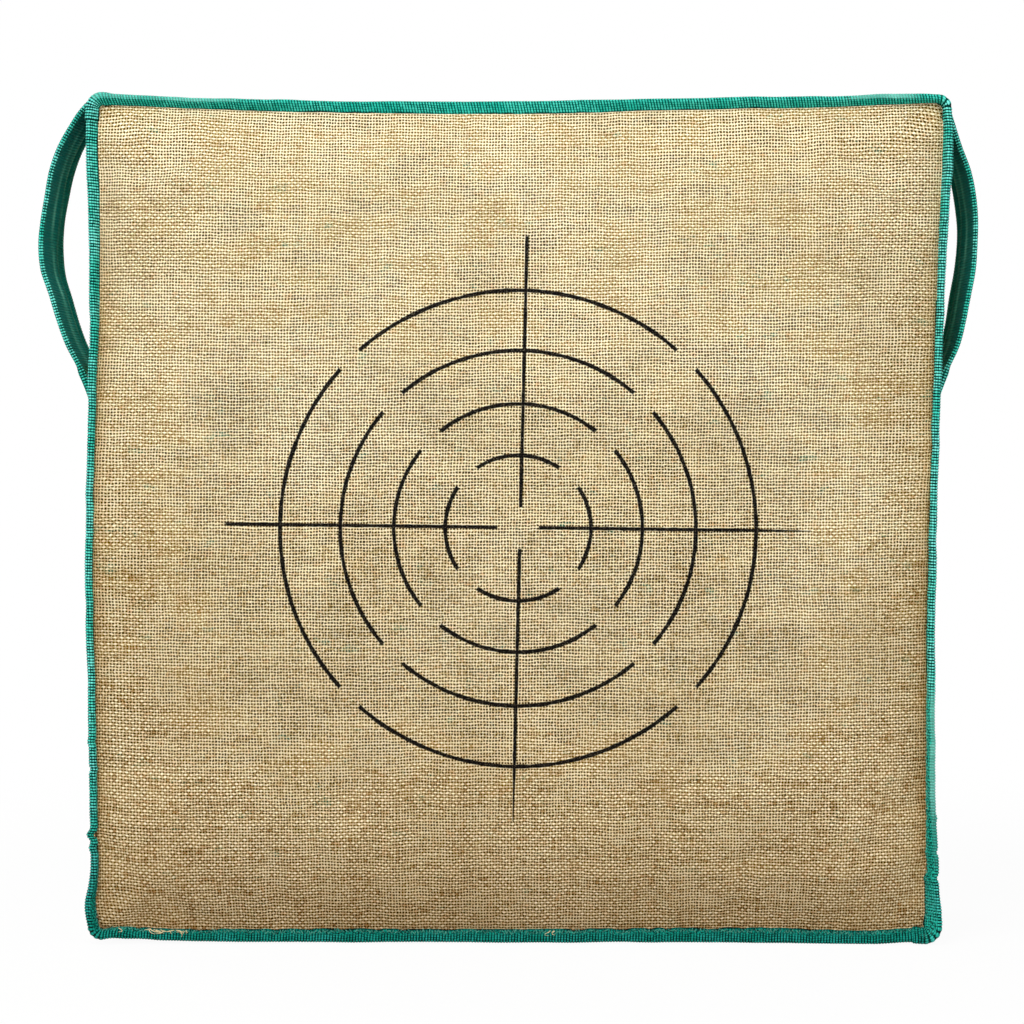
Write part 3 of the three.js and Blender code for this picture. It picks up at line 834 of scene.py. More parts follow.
def face_grid(face, off):
    """Points of a face cloth, and its flat places, on a square grid that runs on into the flange."""
    reach = 1 + flange_rings * 2 / face_steps
    line = np.linspace(-reach, reach, face_steps + 2 * flange_rings + 1)
    b, a = np.meshgrid(line, line, indexing="ij")
    ring = np.maximum(np.abs(a), np.abs(b))
    safe = np.maximum(ring, 1e-9)
    place = seam_at(square_to_seam(a / safe, b / safe))
    inner = np.minimum(ring, 1)
    x, z = towards_middle(place, inner)
    y = face["sign"] * (half_depth + crown(face, x, z) + off)
    pull = pinch_of(face, place) * smooth((inner - 0.86) / 0.14)
    points = settled(x + place["nx"] * pull, y, z + place["nz"] * pull)
    at_seam = np.abs(ring - 1) < hair
    points[at_seam] = face_bend(face, place, off)[at_seam]
    outside = ring > 1 + hair
    squareness = np.minimum(np.abs(a), np.abs(b)) / safe
    clipped = 1 - 0.75 * smooth((squareness - 0.92) / 0.05)
    along = (ring - 1) * face_steps / 2 / flange_rings * seam_allowance * clipped
    points[outside] = flange(face, place, along, off - 0.35)[outside]
    flat = np.stack([a * bag_half_width, b * bag_height / 2, 0 * a], -1)
    return points, flat, ring


face_points, face_flat, face_ring = face_grid(front, cloth_off)
print("face grid", face_points.shape, "depth", face_points[..., 1].min().round(1))

# %% Wrinkles from a cloth simulation
simulated_frames = 20
blur_rounds = 60


def smoothed(values, rounds):
    """A grid blurred by averaging neighbours, with its rim repeated."""
    for _ in range(rounds):
        padded = np.pad(values, ((1, 1), (1, 1), (0, 0)), mode="edge")
        values = (padded[:-2, 1:-1] + padded[2:, 1:-1] + padded[1:-1, :-2] + padded[1:-1, 2:] + values) / 5
    return values


def wrinkled(name, points, ring, spare, most):
    """The grid with the wrinkles of a cloth simulation, none moved further than most."""
    rows, columns, _ = points.shape
    faces = grid_faces(rows, columns)
    if np.cross(points[0, 1] - points[0, 0], points[1, 0] - points[0, 0])[1] * points[rows // 2, 0, 1] < 0:
        faces = faces[:, ::-1]
    cloth = piece(name, points.reshape(-1, 3), faces, plain_hessian)
    held = cloth.vertex_groups.new(name="held")
    held.add(np.flatnonzero(ring.ravel() > 1 - hair).tolist(), 1, "REPLACE")
    made = cloth.modifiers.new("cloth", "CLOTH")
    cloth_values = dict(
        vertex_group_mass="held", quality=6, mass=0.3, tension_stiffness=25, compression_stiffness=25,
        shear_stiffness=8, bending_stiffness=0.4, use_pressure=True, uniform_pressure_force=4,
        shrink_min=-spare, shrink_max=-spare,
    )
    for label, value in cloth_values.items():
        setattr(made.settings, label, value)
    made.settings.effector_weights.gravity = 0
    made.collision_settings.use_collision = False
    scene.frame_start, scene.frame_end = 1, simulated_frames
    for number in range(1, simulated_frames + 1):
        scene.frame_set(number)
    baked(cloth)
    moved = points_of(cloth).reshape(rows, columns, 3) - points
    scene.frame_set(1)
    bpy.data.objects.remove(cloth)
    moved -= smoothed(moved, blur_rounds)
    size = np.linalg.norm(moved, axis=-1, keepdims=True)
    moved *= np.minimum(1, most / np.maximum(size, 1e-9))
    print(name, f"moves up to {size.max():.1f} mm, mean {size.mean():.2f}, kept at most {most}")
    return points + moved * (ring < 1)[..., None]


face_points = wrinkled("face_trial", face_points, face_ring, 0.012, 2.2)

# %% [markdown]
# Creases that the photo shows.
# Short folds run in from the right edge where the cloth was gathered, and soft ones lie level near the
# foot. They are small pushes of the grid, each with its place, length, width and depth.

# %% Creases and the face panel
# Each crease has a place across and up, a length, a width, a depth and a tilt in degrees
creases = [
    (272, 450, 34, 5, 1.4, 8), (270, 439, 30, 4, -1.2, -6), (274, 424, 40, 6, 1.2, 4),
    (262, 60, 56, 7, 4.2, 14), (264, 50, 50, 6, -1.4, 14), (-250, 92, 60, 8, 1.0, -3),
    (-120, 60, 110, 9, -1.2, 2), (60, 48, 120, 8, 1.1, -1), (190, 66, 90, 9, -1.1, 3),
    (-20, 33, 160, 7, 0.9, 1), (-270, 120, 34, 5, -1.0, 10), (-272, 160, 30, 5, 1.0, -5),
    (-268, 330, 30, 6, -0.8, 6),
]


def creased(points, sign):
    x, z = points[..., 0], points[..., 2]
    push = 0.5 * wander(x + 31 * wander(z, 40, 5), 70, 6) * wander(z, 90, 7)
    for at_x, at_z, length, width, depth, tilt in creases:
        turn = math.radians(tilt)
        along = (x - at_x) * math.cos(turn) + (z - at_z) * math.sin(turn)
        across = (z - at_z) * math.cos(turn) - (x - at_x) * math.sin(turn)
        push = push + depth * np.exp(-((along / length * 2) ** 2) - (across / width) ** 2)
    points[..., 1] += sign * push * 0.8
    return points


def finished(obj, thickness, levels):
    steps = [("SUBSURF", dict(levels=levels, render_levels=levels))] if levels else []
    return baked(obj, *steps, ("SOLIDIFY", dict(thickness=thickness * mm, offset=-1.0)))


def facing(points, faces, outward):
    """The faces, turned if needed so that the first one's normal goes with outward."""
    a, b, c = (points.reshape(-1, 3)[faces[len(faces) // 2][k]] for k in range(3))
    return faces if np.dot(np.cross(b - a, c - a), outward) > 0 else faces[:, ::-1]


def face_cloth(name, points, flat, face, thickness, levels, material):
    rows, columns, _ = points.shape
    faces = facing(points, grid_faces(rows, columns), (0, face["sign"], 0))
    made = piece(name, points.reshape(-1, 3), faces, material, cloth=flat.reshape(-1, 3) * mm)
    share = np.abs(flat.reshape(-1, 3)[:, :2]) / (bag_half_width, bag_height / 2)
    at_seam = np.abs(share.max(1) - 1) < hair
    ends = np.zeros(len(made.data.edges) * 2, np.int32)
    made.data.edges.foreach_get("vertices", ends)
    crease = made.data.attributes.new("crease_edge", "FLOAT", "EDGE")
    crease.data.foreach_set("value", at_seam[ends.reshape(-1, 2)].all(1).astype(np.float32))
    return finished(made, thickness, levels)


inside = (face_ring < 1)[..., None]
face_points = np.where(inside, creased(face_points.copy(), -1), face_points)
face_panel = face_cloth("face_cloth", face_points, face_flat, front, cloth_thickness, 1, printed_hessian)
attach(face_panel, "bag")
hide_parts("face_panel")
print("face panel", len(face_panel.data.polygons), "faces")

# %% Face lining
lining_off, lining_thickness = 0.45, 0.3
lining_points, lining_flat, _ = face_grid(front, lining_off)
lining_points = lining_points + (face_points - face_grid(front, cloth_off)[0])
face_lining = face_cloth("face_lining", lining_points, lining_flat, front, lining_thickness, 0, lining_cloth)
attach(face_lining, "bag")
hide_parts("face_liner")

# %% [markdown]
# The back is the same cloth without the print, and its middle stays flat, where a stand carries it.

# %% Back panel and back lining
back_points, back_flat, back_ring = face_grid(rear, cloth_off)
back_points = wrinkled("back_trial", back_points, back_ring, 0.012, 1.2)
back_panel = face_cloth("back_cloth", back_points, back_flat, rear, cloth_thickness, 1, plain_hessian)
inner_points = face_grid(rear, lining_off)[0]
back_lining = face_cloth("back_lining", inner_points, back_flat, rear, lining_thickness, 0, lining_cloth)
for made, node_name, finish in (
    (back_panel, "back_panel", "plain_hessian"),
    (back_lining, "back_liner", "lining"),
):
    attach(made, "bag")
    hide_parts(node_name)

# %% [markdown]
# The four gussets.
# Each gusset is a strip of hessian between the two seams. The strip is a grid along the seam and across
# the depth, swollen where the core presses on it and drawn in at the seams.

# %% Gussets
depth_shares = np.concatenate([[0.012, 0.03], np.linspace(0.06, 0.94, 23), [0.97, 0.988]])
gusset_columns = 117
half_way = gusset_columns // 2


def gusset_slope(place):
    near = 0.06 * half_depth * 2
    return np.arctan2(place["swell"] * rise(near, place["run"]), near)


def gusset_bend(face, place, off):
    slope, lean = gusset_slope(place), lean_of(face, place)
    return bend(face, place, off, (lean + slope - np.pi / 2) / 2, (lean - slope + np.pi / 2) / 2)


def gusset_cloth(name, index):
    low, high = quarters[index] + 0.15, quarters[index + 1] - 0.15
    s = np.linspace(low, high, gusset_columns)
    place = seam_at(s)
    columns = [flange(front, place, along, -gusset_off) for along in (seam_allowance, seam_allowance / 2)]
    columns.append(gusset_bend(front, place, gusset_off))
    for share in depth_shares:
        distance = min(share, 1 - share) * half_depth * 2
        fade = 1 - smooth(share * half_depth * 2 / 9)
        ripple = 0.5 * wander(s + 40 * share, 23, 30 + index) * np.exp(-distance / 14)
        ripple = ripple + 0.5 * wander(s, 60, 40 + index)
        ripple = ripple * smooth(distance / 8) * np.minimum(1, (high - s) / 20)
        ripple = ripple * np.minimum(1, (s - low) / 20)
        out = place["swell"] * rise(distance, place["run"]) + gusset_off + place["pinch"] * fade + ripple
        y = (share - 0.5) * half_depth * 2
        columns.append(settled(place["x"] + place["nx"] * out, y, place["z"] + place["nz"] * out))
    columns.append(gusset_bend(rear, place, gusset_off))
    columns += [flange(rear, place, along, -gusset_off) for along in (seam_allowance / 2, seam_allowance)]
    points = np.stack(columns)
    points[..., 2] = np.maximum(points[..., 2], 0)
    across = run_along(points[:, half_way])
    flat = np.stack(np.broadcast_arrays(s[None, :], across[:, None], 0 * s), -1)
    outward = (place["nx"][half_way], 0, place["nz"][half_way])
    faces = facing(points, grid_faces(len(points), len(s)), outward)
    made = piece(name, points.reshape(-1, 3), faces, plain_hessian, cloth=flat.reshape(-1, 3) * mm)
    return finished(made, cloth_thickness, 1)


gusset_cloths = []
for index, side in enumerate(("top", "right", "bottom", "left")):
    made = gusset_cloth(side + "_gusset_cloth", index)
    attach(made, "bag")
    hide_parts(side + "_gusset")
    gusset_cloths.append(made)
print("gussets", [len(made.data.polygons) for made in gusset_cloths])

# %% [markdown]
# Ribs.
# The binding and the handles are ribbed across. A Geometry Nodes tree lifts each point of a plain tape
# along its normal by a rounded wave of its length along the tape. The tree is written once, and each
# tape sets its own pitch, height and unevenness.

# %% Geometry Nodes tree for ribs
def named(tree, name, kind="FLOAT"):
    return node(tree, "GeometryNodeInputNamedAttribute", dict(Name=name), "Attribute", data_type=kind)


def end_tree(tree, geometry, material, result):
    """Makes instances real, gives everything the material and hands it out."""
    real = node(tree, "GeometryNodeRealizeInstances", [geometry])
    wire(node(tree, "GeometryNodeSetMaterial", dict(Geometry=real, Material=material)), result["Geometry"])


def rib_tree():
    tree, given, result = new_group(
        "Ribs", "Geometry",
        [
            ("Geometry", "Geometry"), ("Material", "Material"), ("Rib pitch", "Float", rib_pitch * mm),
            ("Rib height", "Float", 0.3 * mm), ("Unevenness", "Float", 0.35),
        ],
        [("Geometry", "Geometry")],
    )
    crest = abs(calc("SINE", named(tree, "along") * math.pi / given["Rib pitch"]))
    spare = (noise(named(tree, "tape", "FLOAT_VECTOR"), 160.0) - 0.5) * given["Unevenness"]
    height = (crest - 0.2 + spare) * given["Rib height"] * named(tree, "ribbed")
    normal = node(tree, "GeometryNodeInputNormal")
    lift = node(tree, "ShaderNodeVectorMath", {0: normal, "Scale": height}, operation="SCALE")
    moved = node(tree, "GeometryNodeSetPosition", dict(Geometry=given["Geometry"], Offset=lift))
    end_tree(tree, moved, given["Material"], result)
    return tree


def grown(obj, tree, **values):
    """Runs a Geometry Nodes tree on obj with the named inputs, and leaves a plain mesh."""
    made = obj.modifiers.new("nodes", "NODES")
    made.node_group = tree
    sockets = {item.name: item.identifier for item in tree.interface.items_tree if item.in_out == "INPUT"}
    for label, value in values.items():
        made[sockets[label.replace("_", " ")]] = value
    return baked(obj)


ribs = rib_tree()


def with_ribs(obj, height):
    sizes = dict(Rib_pitch=rib_pitch * mm, Rib_height=height * mm, Unevenness=0.5)
    return grown(obj, ribs, Material=ribbed_tape, **sizes)

# %% [markdown]
# The binding.
# One tape is folded over the raw edges and sewn down. Its section runs from the leaf on the face over the
# fold to the leaf on the gusset, and is drawn four times for each rib. A leaf starts where it is clear of
# the cloth that bends away beside it. The upper length laps over the lower one at two corners.

# %% Section and sweep of the binding
tape = 0.6
face_leaf = cloth_off + 0.3
gusset_leaf = gusset_off + 0.3
fold_points = range(8, 17)


def low_side(place, sign, height):
    """Where a side, 1 for the right one and -1 for the left one, lies below a height."""
    return (sign * place["nx"] > 0.7) * smooth((height - place["z"]) / 20)


def worn_share(face, place, index):
    """How much painted highlight the tape gets: on its fold, near the upper corners and down the right side.
    """
    if face["sign"] > 0 or index not in fold_points:
        return 0 * place["s"]
    top = place["nz"] > 0.7
    corners = 0.6 * smooth((-185 - place["x"]) / 18) * top + smooth(1.6 - np.abs(place["x"] - 252) / 18) * top
    starts = np.where(place["z"] < 140, 8, 9)
    right = low_side(place, 1, 185) * smooth((place["z"] - 45) / 20) * (index >= starts)
    return (corners + right) * (0.85 + 0.15 * wander(place["s"], 20, 60))


def rough_share(place):
    """Where the tape is stitched roughly: low on the right side, along the foot and low on the left."""
    return np.clip(low_side(place, 1, 185) + low_side(place, -1, 130) + (place["nz"] < -0.7), 0, 1)


def leaf_start(between_angle, near, far):
    off = np.where(np.cos(between_angle) > 0, far, near)
    return np.maximum((near + np.cos(between_angle) * off) / np.sin(between_angle), 0.3)


def binding_sections(face, place, lap):
    """Points of the tape's section at each place, outer surface first, then the inner one."""
    face_angle = np.pi - face_slope(face, place) - lean_of(face, place)
    gusset_angle = np.pi / 2 - gusset_slope(place) + lean_of(face, place)
    s = place["s"]
    rough = rough_share(place) if face["sign"] < 0 else 0 * s
    start_face = leaf_start(face_angle, face_leaf, face_leaf + tape) + 0.45 * wander(s, 31, 22)
    start_face = start_face + (0.35 + 0.75 * rough) * wander(s, 6, 21)
    start_gusset = leaf_start(gusset_angle, gusset_leaf, gusset_leaf + tape)
    tip = 8.9 + 0.35 * wander(s, 26, 23) + (place["wider"] if face["sign"] < 0 else 0)
    high, low = face_leaf + tape + lap, -(gusset_leaf + tape + lap)
    bow = 0.25 * wander(s, 17, 24)
    centre, reach = tip - 1.7, 1.7 + lap
    rows = [(start_face, face_leaf + lap * 0.9, 0), (start_face - 0.1, high - 0.12, 0.1)]
    rows.append((start_face + 0.6, high + 0.05, 0.25))
    for share in (0.19, 0.4, 0.65, 0.85):
        along = start_face + (centre - start_face) * share
        rows.append((along, high + bow * math.sin(share * math.pi), min(1, share * 5)))
    for angle in np.radians([85, 55, 25, 0, -25, -55, -85]):
        off = (high + low) / 2 + (high - low) / 2 * math.sin(angle)
        rows.append((centre + reach * math.cos(angle), off, 1))
    for share in (0.85, 0.5, 0.15):
        rows.append((start_gusset + (centre - start_gusset) * share, low, 1))
    rows += [(start_gusset, low + 0.1, 0.6), (start_gusset, low + tape, 0)]
    rows += [(tip - tape, low + tape, 0), (tip - tape, high - tape, 0)]
    shape = np.shape(s)
    return [tuple(np.broadcast_to(value, shape) for value in row) for row in rows]


def swept(name, points, tape_at, mask, material, **extra):
    """A closed tube through sections, given as an array of stations by points of a section."""
    stations, count, _ = points.shape
    faces = grid_faces(stations, count, closed=True)
    flat = points.reshape(-1, 3)
    a, b, c, d = (flat[faces[:, k]] for k in range(4))
    inside_out = (np.cross(c - a, d - b) * (a + b + c + d)).sum() < 0
    faces = faces.tolist() + [list(range(count))[::-1], [(stations - 1) * count + k for k in range(count)]]
    if inside_out:
        faces = [face[::-1] for face in faces]
    masks = {label: values.ravel() for label, values in dict(ribbed=mask, **extra).items()}
    tape_at = tape_at.reshape(-1, 3) * mm
    return piece(name, flat, faces, material, tape=tape_at, along=tape_at[:, 0], **masks)


def binding(name, face, low, high, lapped):
    finely = np.arange(low, high, 0.1)
    run = run_along(flange(face, unwrapped(finely), 5, face_leaf))
    at_middle = np.arange(0, run[-1], rib_pitch / 4)
    s = np.interp(at_middle, run, finely)
    place = unwrapped(s)
    nearest_end = np.minimum(s - low, high - s)
    lap = 0.75 * (1 - smooth((nearest_end - 14) / 6)) if lapped else 0 * s
    rows = binding_sections(face, place, lap)
    points = np.stack([flange(face, place, along, off) for along, off, _ in rows], 1)
    points[..., 2] = np.maximum(points[..., 2], 0.2)
    relief = 0.5 + 0.9 * place["nx"] ** 2 + 0.4 * np.clip(-place["nz"], 0, 1)
    mask = np.stack([row[2] for row in rows], 1) * relief[:, None]
    across = run_along(points)
    worn = np.stack([worn_share(face, place, index) for index in range(points.shape[1])], 1)
    # A line of painted shade along the leaf's edge on the cloth
    edge = np.zeros_like(worn)
    edge[:, :2], edge[:, 2] = 1, np.clip(0.6 + 0.6 * wander(s, 7, 61), 0, 1)
    rough = np.zeros_like(worn)
    if face["sign"] < 0:
        stitched_here = rough_share(place) * np.clip(0.8 + 0.3 * wander(s, 9, 62), 0, 1)
        rough[:, 3:5] = 0.85 * stitched_here[:, None]
        rough[:, 5:9] = (0.85 * stitched_here * (np.abs(place["nx"]) > 0.7))[:, None]
        rough[:, 8] *= place["z"] > 140
    slant = 0.05 - 0.27 * np.clip(place["nz"], 0, 1)
    tape_at = np.stack([at_middle[:, None] - slant[:, None] * across, across, 0 * across], -1)
    made = swept(name, points, tape_at, mask, ribbed_tape, worn=worn, rough=rough, edge=edge)
    return with_ribs(made, 0.55)


lap_over = 10
tape_lengths = (("upper", 0, quarters[2], lap_over), ("lower", quarters[2], quarters[4], 0))
bindings = []
for word, face in (("front", front), ("rear", rear)):
    for part, low, high, spare in tape_lengths:
        made = binding(f"{word}_tape_{part}", face, low - spare, high + spare, spare > 0)
        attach(made, "bag")
        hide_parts(f"{word}_binding_{part}")
        bindings.append(made)
print("bindings", [len(made.data.polygons) for made in bindings])

# %% [markdown]
# Stitches.
# A machine zigzag holds the tape along the foot and the lower part of the sides. Every stitch is the same
# short bent thread, so a Geometry Nodes tree sets one on each point of a line of places, turned by an
# attribute, and makes them real. Modelling each by hand would give the same picture with far more work.

# %% Geometry Nodes tree for stitches
def stitch_tree():
    tree, given, result = new_group(
        "Stitches", "Geometry",
        [
            ("Geometry", "Geometry"), ("Length", "Float", 2.6 * mm), ("Thread", "Float", 0.36 * mm),
            ("Seed", "Int", 7), ("Material", "Material"),
        ],
        [("Geometry", "Geometry")],
    )
    half, thread = given["Length"] * 0.5, given["Thread"]
    ends = {
        label: vector(half * side, 0.0, thread * lift)
        for label, side, lift in (("Start", -1.0, -0.45), ("Middle", 0.0, 0.75), ("End", 1.0, -0.45))
    }
    arc = node(tree, "GeometryNodeCurveQuadraticBezier", dict(Resolution=4, **ends))
    ring = node(tree, "GeometryNodeCurvePrimitiveCircle", dict(Resolution=6, Radius=thread * 0.5))
    tube = node(tree, "GeometryNodeCurveToMesh", {"Curve": arc, "Profile Curve": ring, "Fill Caps": True})
    size = node(tree, "FunctionNodeRandomValue", dict(Seed=given["Seed"]), data_type="FLOAT").socket.node
    low, high = (socket for socket in size.inputs if socket.type == "VALUE" and socket.enabled)
    low.default_value, high.default_value = 0.75, 1.15
    size_out = next(socket for socket in size.outputs if socket.type == "VALUE" and socket.enabled)
    axes = [named(tree, name, "FLOAT_VECTOR") for name in ("upward", "forward")]
    turn = node(tree, "FunctionNodeAxesToRotation", axes, primary_axis="Z", secondary_axis="X")
    placing = dict(Points=given["Geometry"], Instance=tube, Rotation=turn, Scale=Signal(size_out))
    placed = node(tree, "GeometryNodeInstanceOnPoints", placing)
    end_tree(tree, placed, given["Material"], result)
    return tree


stitches = stitch_tree()


def stitched(name, places, upward, forward, finish, **values):
    """One stitch at each place, in millimetres, as one plain mesh."""
    made = piece(name, places, np.zeros((0, 3), int), finish, upward=upward, forward=forward)
    return grown(made, stitches, Material=finish, **values)


# %% Zigzag along the binding
stitch_pitch = 1.3
first_stitch, last_stitch = quarters[1] + 330, quarters[3] + 150


def binding_stitches(name, face):
    s = np.arange(first_stitch, last_stitch, stitch_pitch)
    place = unwrapped(s)
    face_angle = np.pi - face_slope(face, place) - lean_of(face, place)
    uneven = np.random.default_rng(74).uniform(-1, 1, (3, len(s)))
    s = s + 0.5 * uneven[0]
    place = seam_at(s)
    start = leaf_start(face_angle, face_leaf, face_leaf + tape) + 2.0
    start = start + 0.6 * wander(s, 5, 71) + 0.8 * uneven[1]
    lifted = face_leaf + tape + 0.55
    points = flange(face, place, start, lifted)
    upward = flange(face, place, start, lifted + 1) - points
    over = flange(face, place, start + 1, lifted) - points
    ahead = unit(np.gradient(points, axis=0))
    tilt = np.where(np.arange(len(s)) % 2, 1, -1) * np.radians(52 + 26 * uneven[2])
    forward = np.cos(tilt)[:, None] * ahead + np.sin(tilt)[:, None] * over
    keep = np.random.default_rng(73).uniform(size=len(s)) > 0.12
    places, upward, forward = points[keep], upward[keep], forward[keep]
    return stitched(name, places, upward, forward, green_thread, Length=2.5 * mm, Thread=0.55 * mm)


for word, face in (("front", front), ("rear", rear)):
    made = binding_stitches(f"{word}_tape_stitches", face)
    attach(made, "bag")
    print(made.name, len(made.data.polygons), "faces")

# %% [markdown]
# Frayed threads.
# Jute sheds. Loose ends stick out where the cloth was cut, most of them low on the left, and the cut tip
# of the tape at the lower right has come apart. Each is a thin tube along its own wandering path.

# %% Loose threads
def curve_through(knots, count):
    """Points of a smooth curve through knots, evenly spaced along it."""
    knots = np.asarray(knots, float)
    ends = np.concatenate([[2 * knots[0] - knots[1]], knots, [2 * knots[-1] - knots[-2]]])
    found = []
    for index in range(len(knots) - 1):
        a, b, c, d = ends[index : index + 4]
        t = np.linspace(0, 1, 24, endpoint=False)[:, None]
        straight = 2 * b + (c - a) * t
        found.append(0.5 * (straight + (2 * a - 5 * b + 4 * c - d) * t**2 + (3 * b - a - 3 * c + d) * t**3))
    line = np.concatenate([*found, knots[-1:]])
    along = run_along(line)
    at = np.linspace(0, along[-1], count)
    return np.stack([np.interp(at, along, line[:, k]) for k in range(knots.shape[1])], 1), at


def whisker(path, radius, sides=5):
    """Points and faces of a thin closed tube along a path."""
    line, _ = curve_through(path, 14)
    tangent = unit(np.gradient(line, axis=0))
    across = unit(np.cross(tangent, (0.31, 0.17, 0.93)))
    up = np.cross(tangent, across)
    angles = np.linspace(0, 2 * np.pi, sides, endpoint=False)[None, :, None]
    thick = radius * np.clip(1.25 - np.linspace(0, 1, len(line)), 0.4, 1)[:, None, None]
    points = line[:, None] + thick * (np.cos(angles) * across[:, None] + np.sin(angles) * up[:, None])
    faces = grid_faces(len(line), sides, closed=True)[:, ::-1].tolist()
    caps = [list(range(sides)), [(len(line) - 1) * sides + k for k in range(sides)][::-1]]
    return points.reshape(-1, 3), faces + caps


def loose_threads(name, face, clusters, length, radius, finish, seed, along=1.6):
    """Threads that start under the tape's edge and curl out over it, around each of the clusters."""
    draw = np.random.default_rng(seed)
    points, faces, count = [], [], 0
    for middle, spread, number in clusters:
        for s in draw.normal(middle, spread, number):
            reach = length * draw.uniform(0.5, 1.1) * np.array([0, 0.35, 0.75, 1])
            lifts = face_leaf + tape + np.array([-0.5, 0.7, 0.9, draw.uniform(0.3, 1.4)])
            turn = draw.uniform(-1, 1) * np.array([0, 0.5, 1, draw.uniform(0, 2.4)]) * length
            path = flange(face, unwrapped(s + turn), along + reach * draw.uniform(0.3, 1), lifts)
            found, rims = whisker(path, radius * draw.uniform(0.7, 1.2))
            points.append(found)
            faces += [[index + count for index in rim] for rim in rims]
            count += len(found)
    return piece(name, np.concatenate(points), faces, finish)


low_left = quarters[3]
jute_ends = loose_threads(
    "loose_jute_threads", front,
    [
        (low_left - 46, 9, 9), (low_left - 58, 3, 8), (low_left - 36, 3, 5), (quarters[2] + 262, 1.2, 4),
        (low_left + 30, 30, 6), (quarters[1] + 415, 50, 8),
    ],
    5.5, 0.32, jute_thread, 81,
)
tape_tip = [(quarters[2] + 3, 1.6, 9)]
tape_ends = loose_threads("frayed_tape_end", front, tape_tip, 6, 0.16, green_thread, 82, along=6.5)
for made, finish in ((jute_ends, "plain_hessian"), (tape_ends, "ribbed_tape")):
    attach(made, "bag")

# %% [markdown]
# The handles.
# A handle is one length of wide tape folded along its front edge, with a shorter leaf towards the bag.
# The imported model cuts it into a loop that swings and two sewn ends. Here it is one unbroken strap:
# it follows the bag at its ends and the swinging loop in its middle, and bends smoothly in between.

# %% Path and section of a handle
strap_width, strap_leaf, strap_thickness = 40, 1.35, 3.2
handle_front = -half_depth + 10
handle_top = seam_top - 2
handle_bottom = handle_top - 206
tail_length = 28
# Height and offset of the strap's middle line, from its top to its lower sewn end
left_knots = [
    (588.6, 4.9), (590.4, 8), (587, 12.6), (577.7, 19.9), (560.1, 30), (542.5, 36.5), (524.9, 40.1),
    (507.3, 42.8), (489.7, 44), (472.1, 42.3), (454.5, 36.2), (436.9, 30.2), (419.3, 23.3), (401.7, 13.8),
    (384.1, 7),
]
right_knots = [
    (581.6, 4.6), (584, 6.8), (582.6, 8.4), (577.7, 10.2), (560.1, 16.6), (542.5, 23.6), (524.9, 28),
    (507.3, 30.6), (489.7, 30.8), (472.1, 30), (454.5, 27.6), (436.9, 24.9), (419.3, 20.6), (401.7, 13),
    (384.1, 7.4),
]


def side_swell(y):
    return 2.5 * rise(half_depth - abs(y), 75)


handle_middle = handle_front + strap_width / 2
sewn_slope = (side_swell(handle_middle + 0.3) - side_swell(handle_middle - 0.3)) / 0.6
sewn_out = side_swell(handle_middle) + gusset_off + 0.3 + strap_thickness / 2
sewn_front = sewn_out - sewn_slope * strap_width / 2


def strap_section():
    """Points round the folded strap: how far behind its fold, and how far off its middle surface."""
    half, leaf, inner = strap_thickness / 2, strap_leaf, strap_width * 0.62
    fold = np.radians([-100, -125, -155, 180, 155, 125, 100])
    section = [(half + half * math.cos(a), half * math.sin(a)) for a in fold]
    section += [(x, half) for x in (5, 9, 14, 20, 24, 27, 30, 33, 36, 38)]
    section += [(39.6, half - 0.25), (40, half - leaf / 2), (39.6, half - leaf + 0.25)]
    section += [(x, half - leaf) for x in (38, 36, 33, 30, 27, 24, 16, 8, strap_thickness)]
    section += [(x, leaf - half) for x in (strap_thickness, 9, 17)]
    section += [(inner - 0.4, leaf - half - 0.2), (inner, -half + leaf / 2), (inner - 0.4, -half + 0.2)]
    return section + [(x, -half) for x in (22, 19, 16, 12, 8, 4.5, 2.6)]


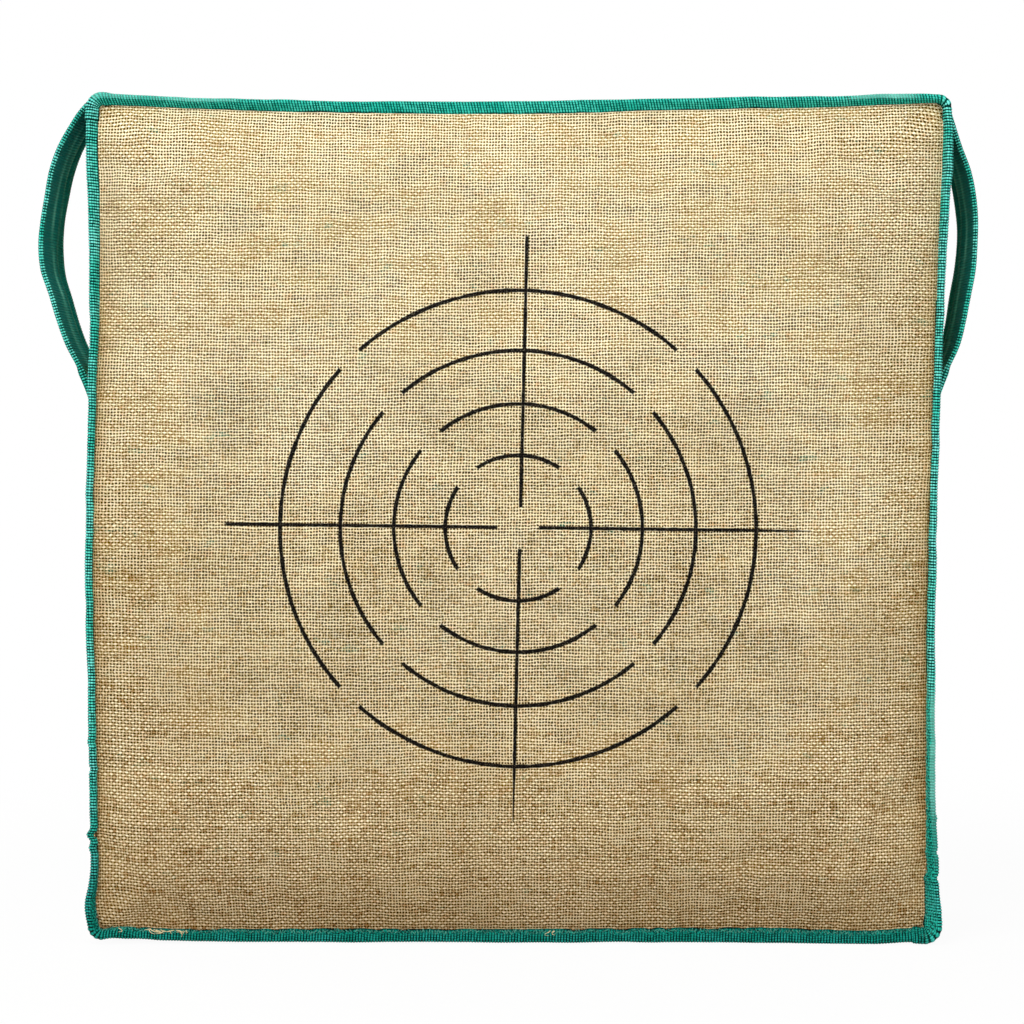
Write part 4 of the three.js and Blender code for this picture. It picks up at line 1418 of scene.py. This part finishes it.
def handle(side, sign, lean, foot_lean, knots):
    path = [(sewn_front, handle_top - 30), (sewn_front, handle_top - 16), (sewn_front + 0.1, knots[0][0] - 4)]
    path += [(out, z) for z, out in knots] + [(sewn_front + 0.3, handle_bottom - 6)]
    path += [(sewn_front, handle_bottom - 16), (sewn_front, handle_bottom - tail_length)]
    _, at = curve_through(path, 2000)
    line, at = curve_through(path, int(at[-1] / (rib_pitch / 4)))
    tangent = unit(np.gradient(line, axis=0))
    thickness_out, thickness_up = -tangent[:, 1], tangent[:, 0]
    half, leaf, section = strap_thickness / 2, strap_leaf, strap_section()
    points, mask, dim, worn = [], [], [], []
    depth = smooth((line[:, 0] - sewn_out) / 18)
    foot = smooth((handle_bottom + 28 - line[:, 1]) / 8) * (at > at[-1] / 2)
    lean_at = (lean * (1 - foot) - foot_lean * foot) * depth - sewn_slope * strap_width * (1 - depth)
    for across, off in section:
        bunched = 1 + 1.3 * foot * depth * (1 - smooth(across / 16))
        sway = 0.35 * wander(at + across * 2, 30, 50) * depth
        wave = np.sin((across - 25) / 15 * 2 * np.pi + 0.6 * wander(at, 40, 51))
        rear = smooth((across - 25) / 6) * (1.6 + 1.7 * wave)
        curl = depth * (1 - foot) * (rear + 1.4 * smooth((across - 17) / 8) * (off < leaf - half + 0.01))
        inward = lean_at * across / strap_width + curl
        x = bag_half_width + line[:, 0] - inward + (off * bunched + sway) * thickness_out
        z = line[:, 1] + (off * bunched + sway) * thickness_up
        points.append(settled(sign * x, handle_front + across, z))
        between_leaves = half - leaf + 0.1 > abs(off) and 2 < across < 38
        on_inside = off < 0 and across > 2
        mask.append(np.full(len(at), 0.0 if between_leaves else 0.12 if on_inside else 1.0))
        # Painted shade on the inner face of the strap, with streaks of painted highlight across it
        streak = sum(
            np.maximum(0, 1 - np.abs(across - middle - 2.5 * wander(at, 42, 54 + middle)) / 2.8)
            for middle in (18, 26, 34)
        )
        hidden = float(across > 2 and off < half - leaf + 0.2) * (1 - foot)
        streak = streak * (0.55 + 0.5 * wander(at + 9 * across, 45, 53))
        dim.append((0.92 - 0.9 * np.minimum(streak, 1)) * hidden)
        worn.append(np.minimum(streak * 1.2, 1) * hidden)
    points, mask, dim, worn = (np.stack(rows, 1) for rows in (points, mask, dim, worn))
    shape = np.ones(points.shape[:2])
    tape_at = np.stack([at[:, None] * shape, run_along(np.array(section)) * shape, 0 * shape], -1)
    made = swept(f"{side}_handle_strap", points, tape_at, mask, ribbed_tape, dim=dim, worn=worn)
    with_ribs(made, 0.4)
    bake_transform(made)
    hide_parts(*(f"{side}_handle_{part}" for part in ("loop", "upper_end", "lower_end")))
    print(made.name, "length", round(at[-1]), "mm,", len(made.data.polygons), "faces")


handle("left", -1, 8, 5, left_knots)
handle("right", 1, 6, 3, right_knots)

# %% [markdown]
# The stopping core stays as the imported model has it: sixteen foam layers inside the cover. Only their
# material is set here, because nothing of them shows.

# %% Core layers
for name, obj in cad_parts.items():
    if name.startswith("core_layer"):
        obj.data.materials.clear()
        obj.data.materials.append(core_foam)
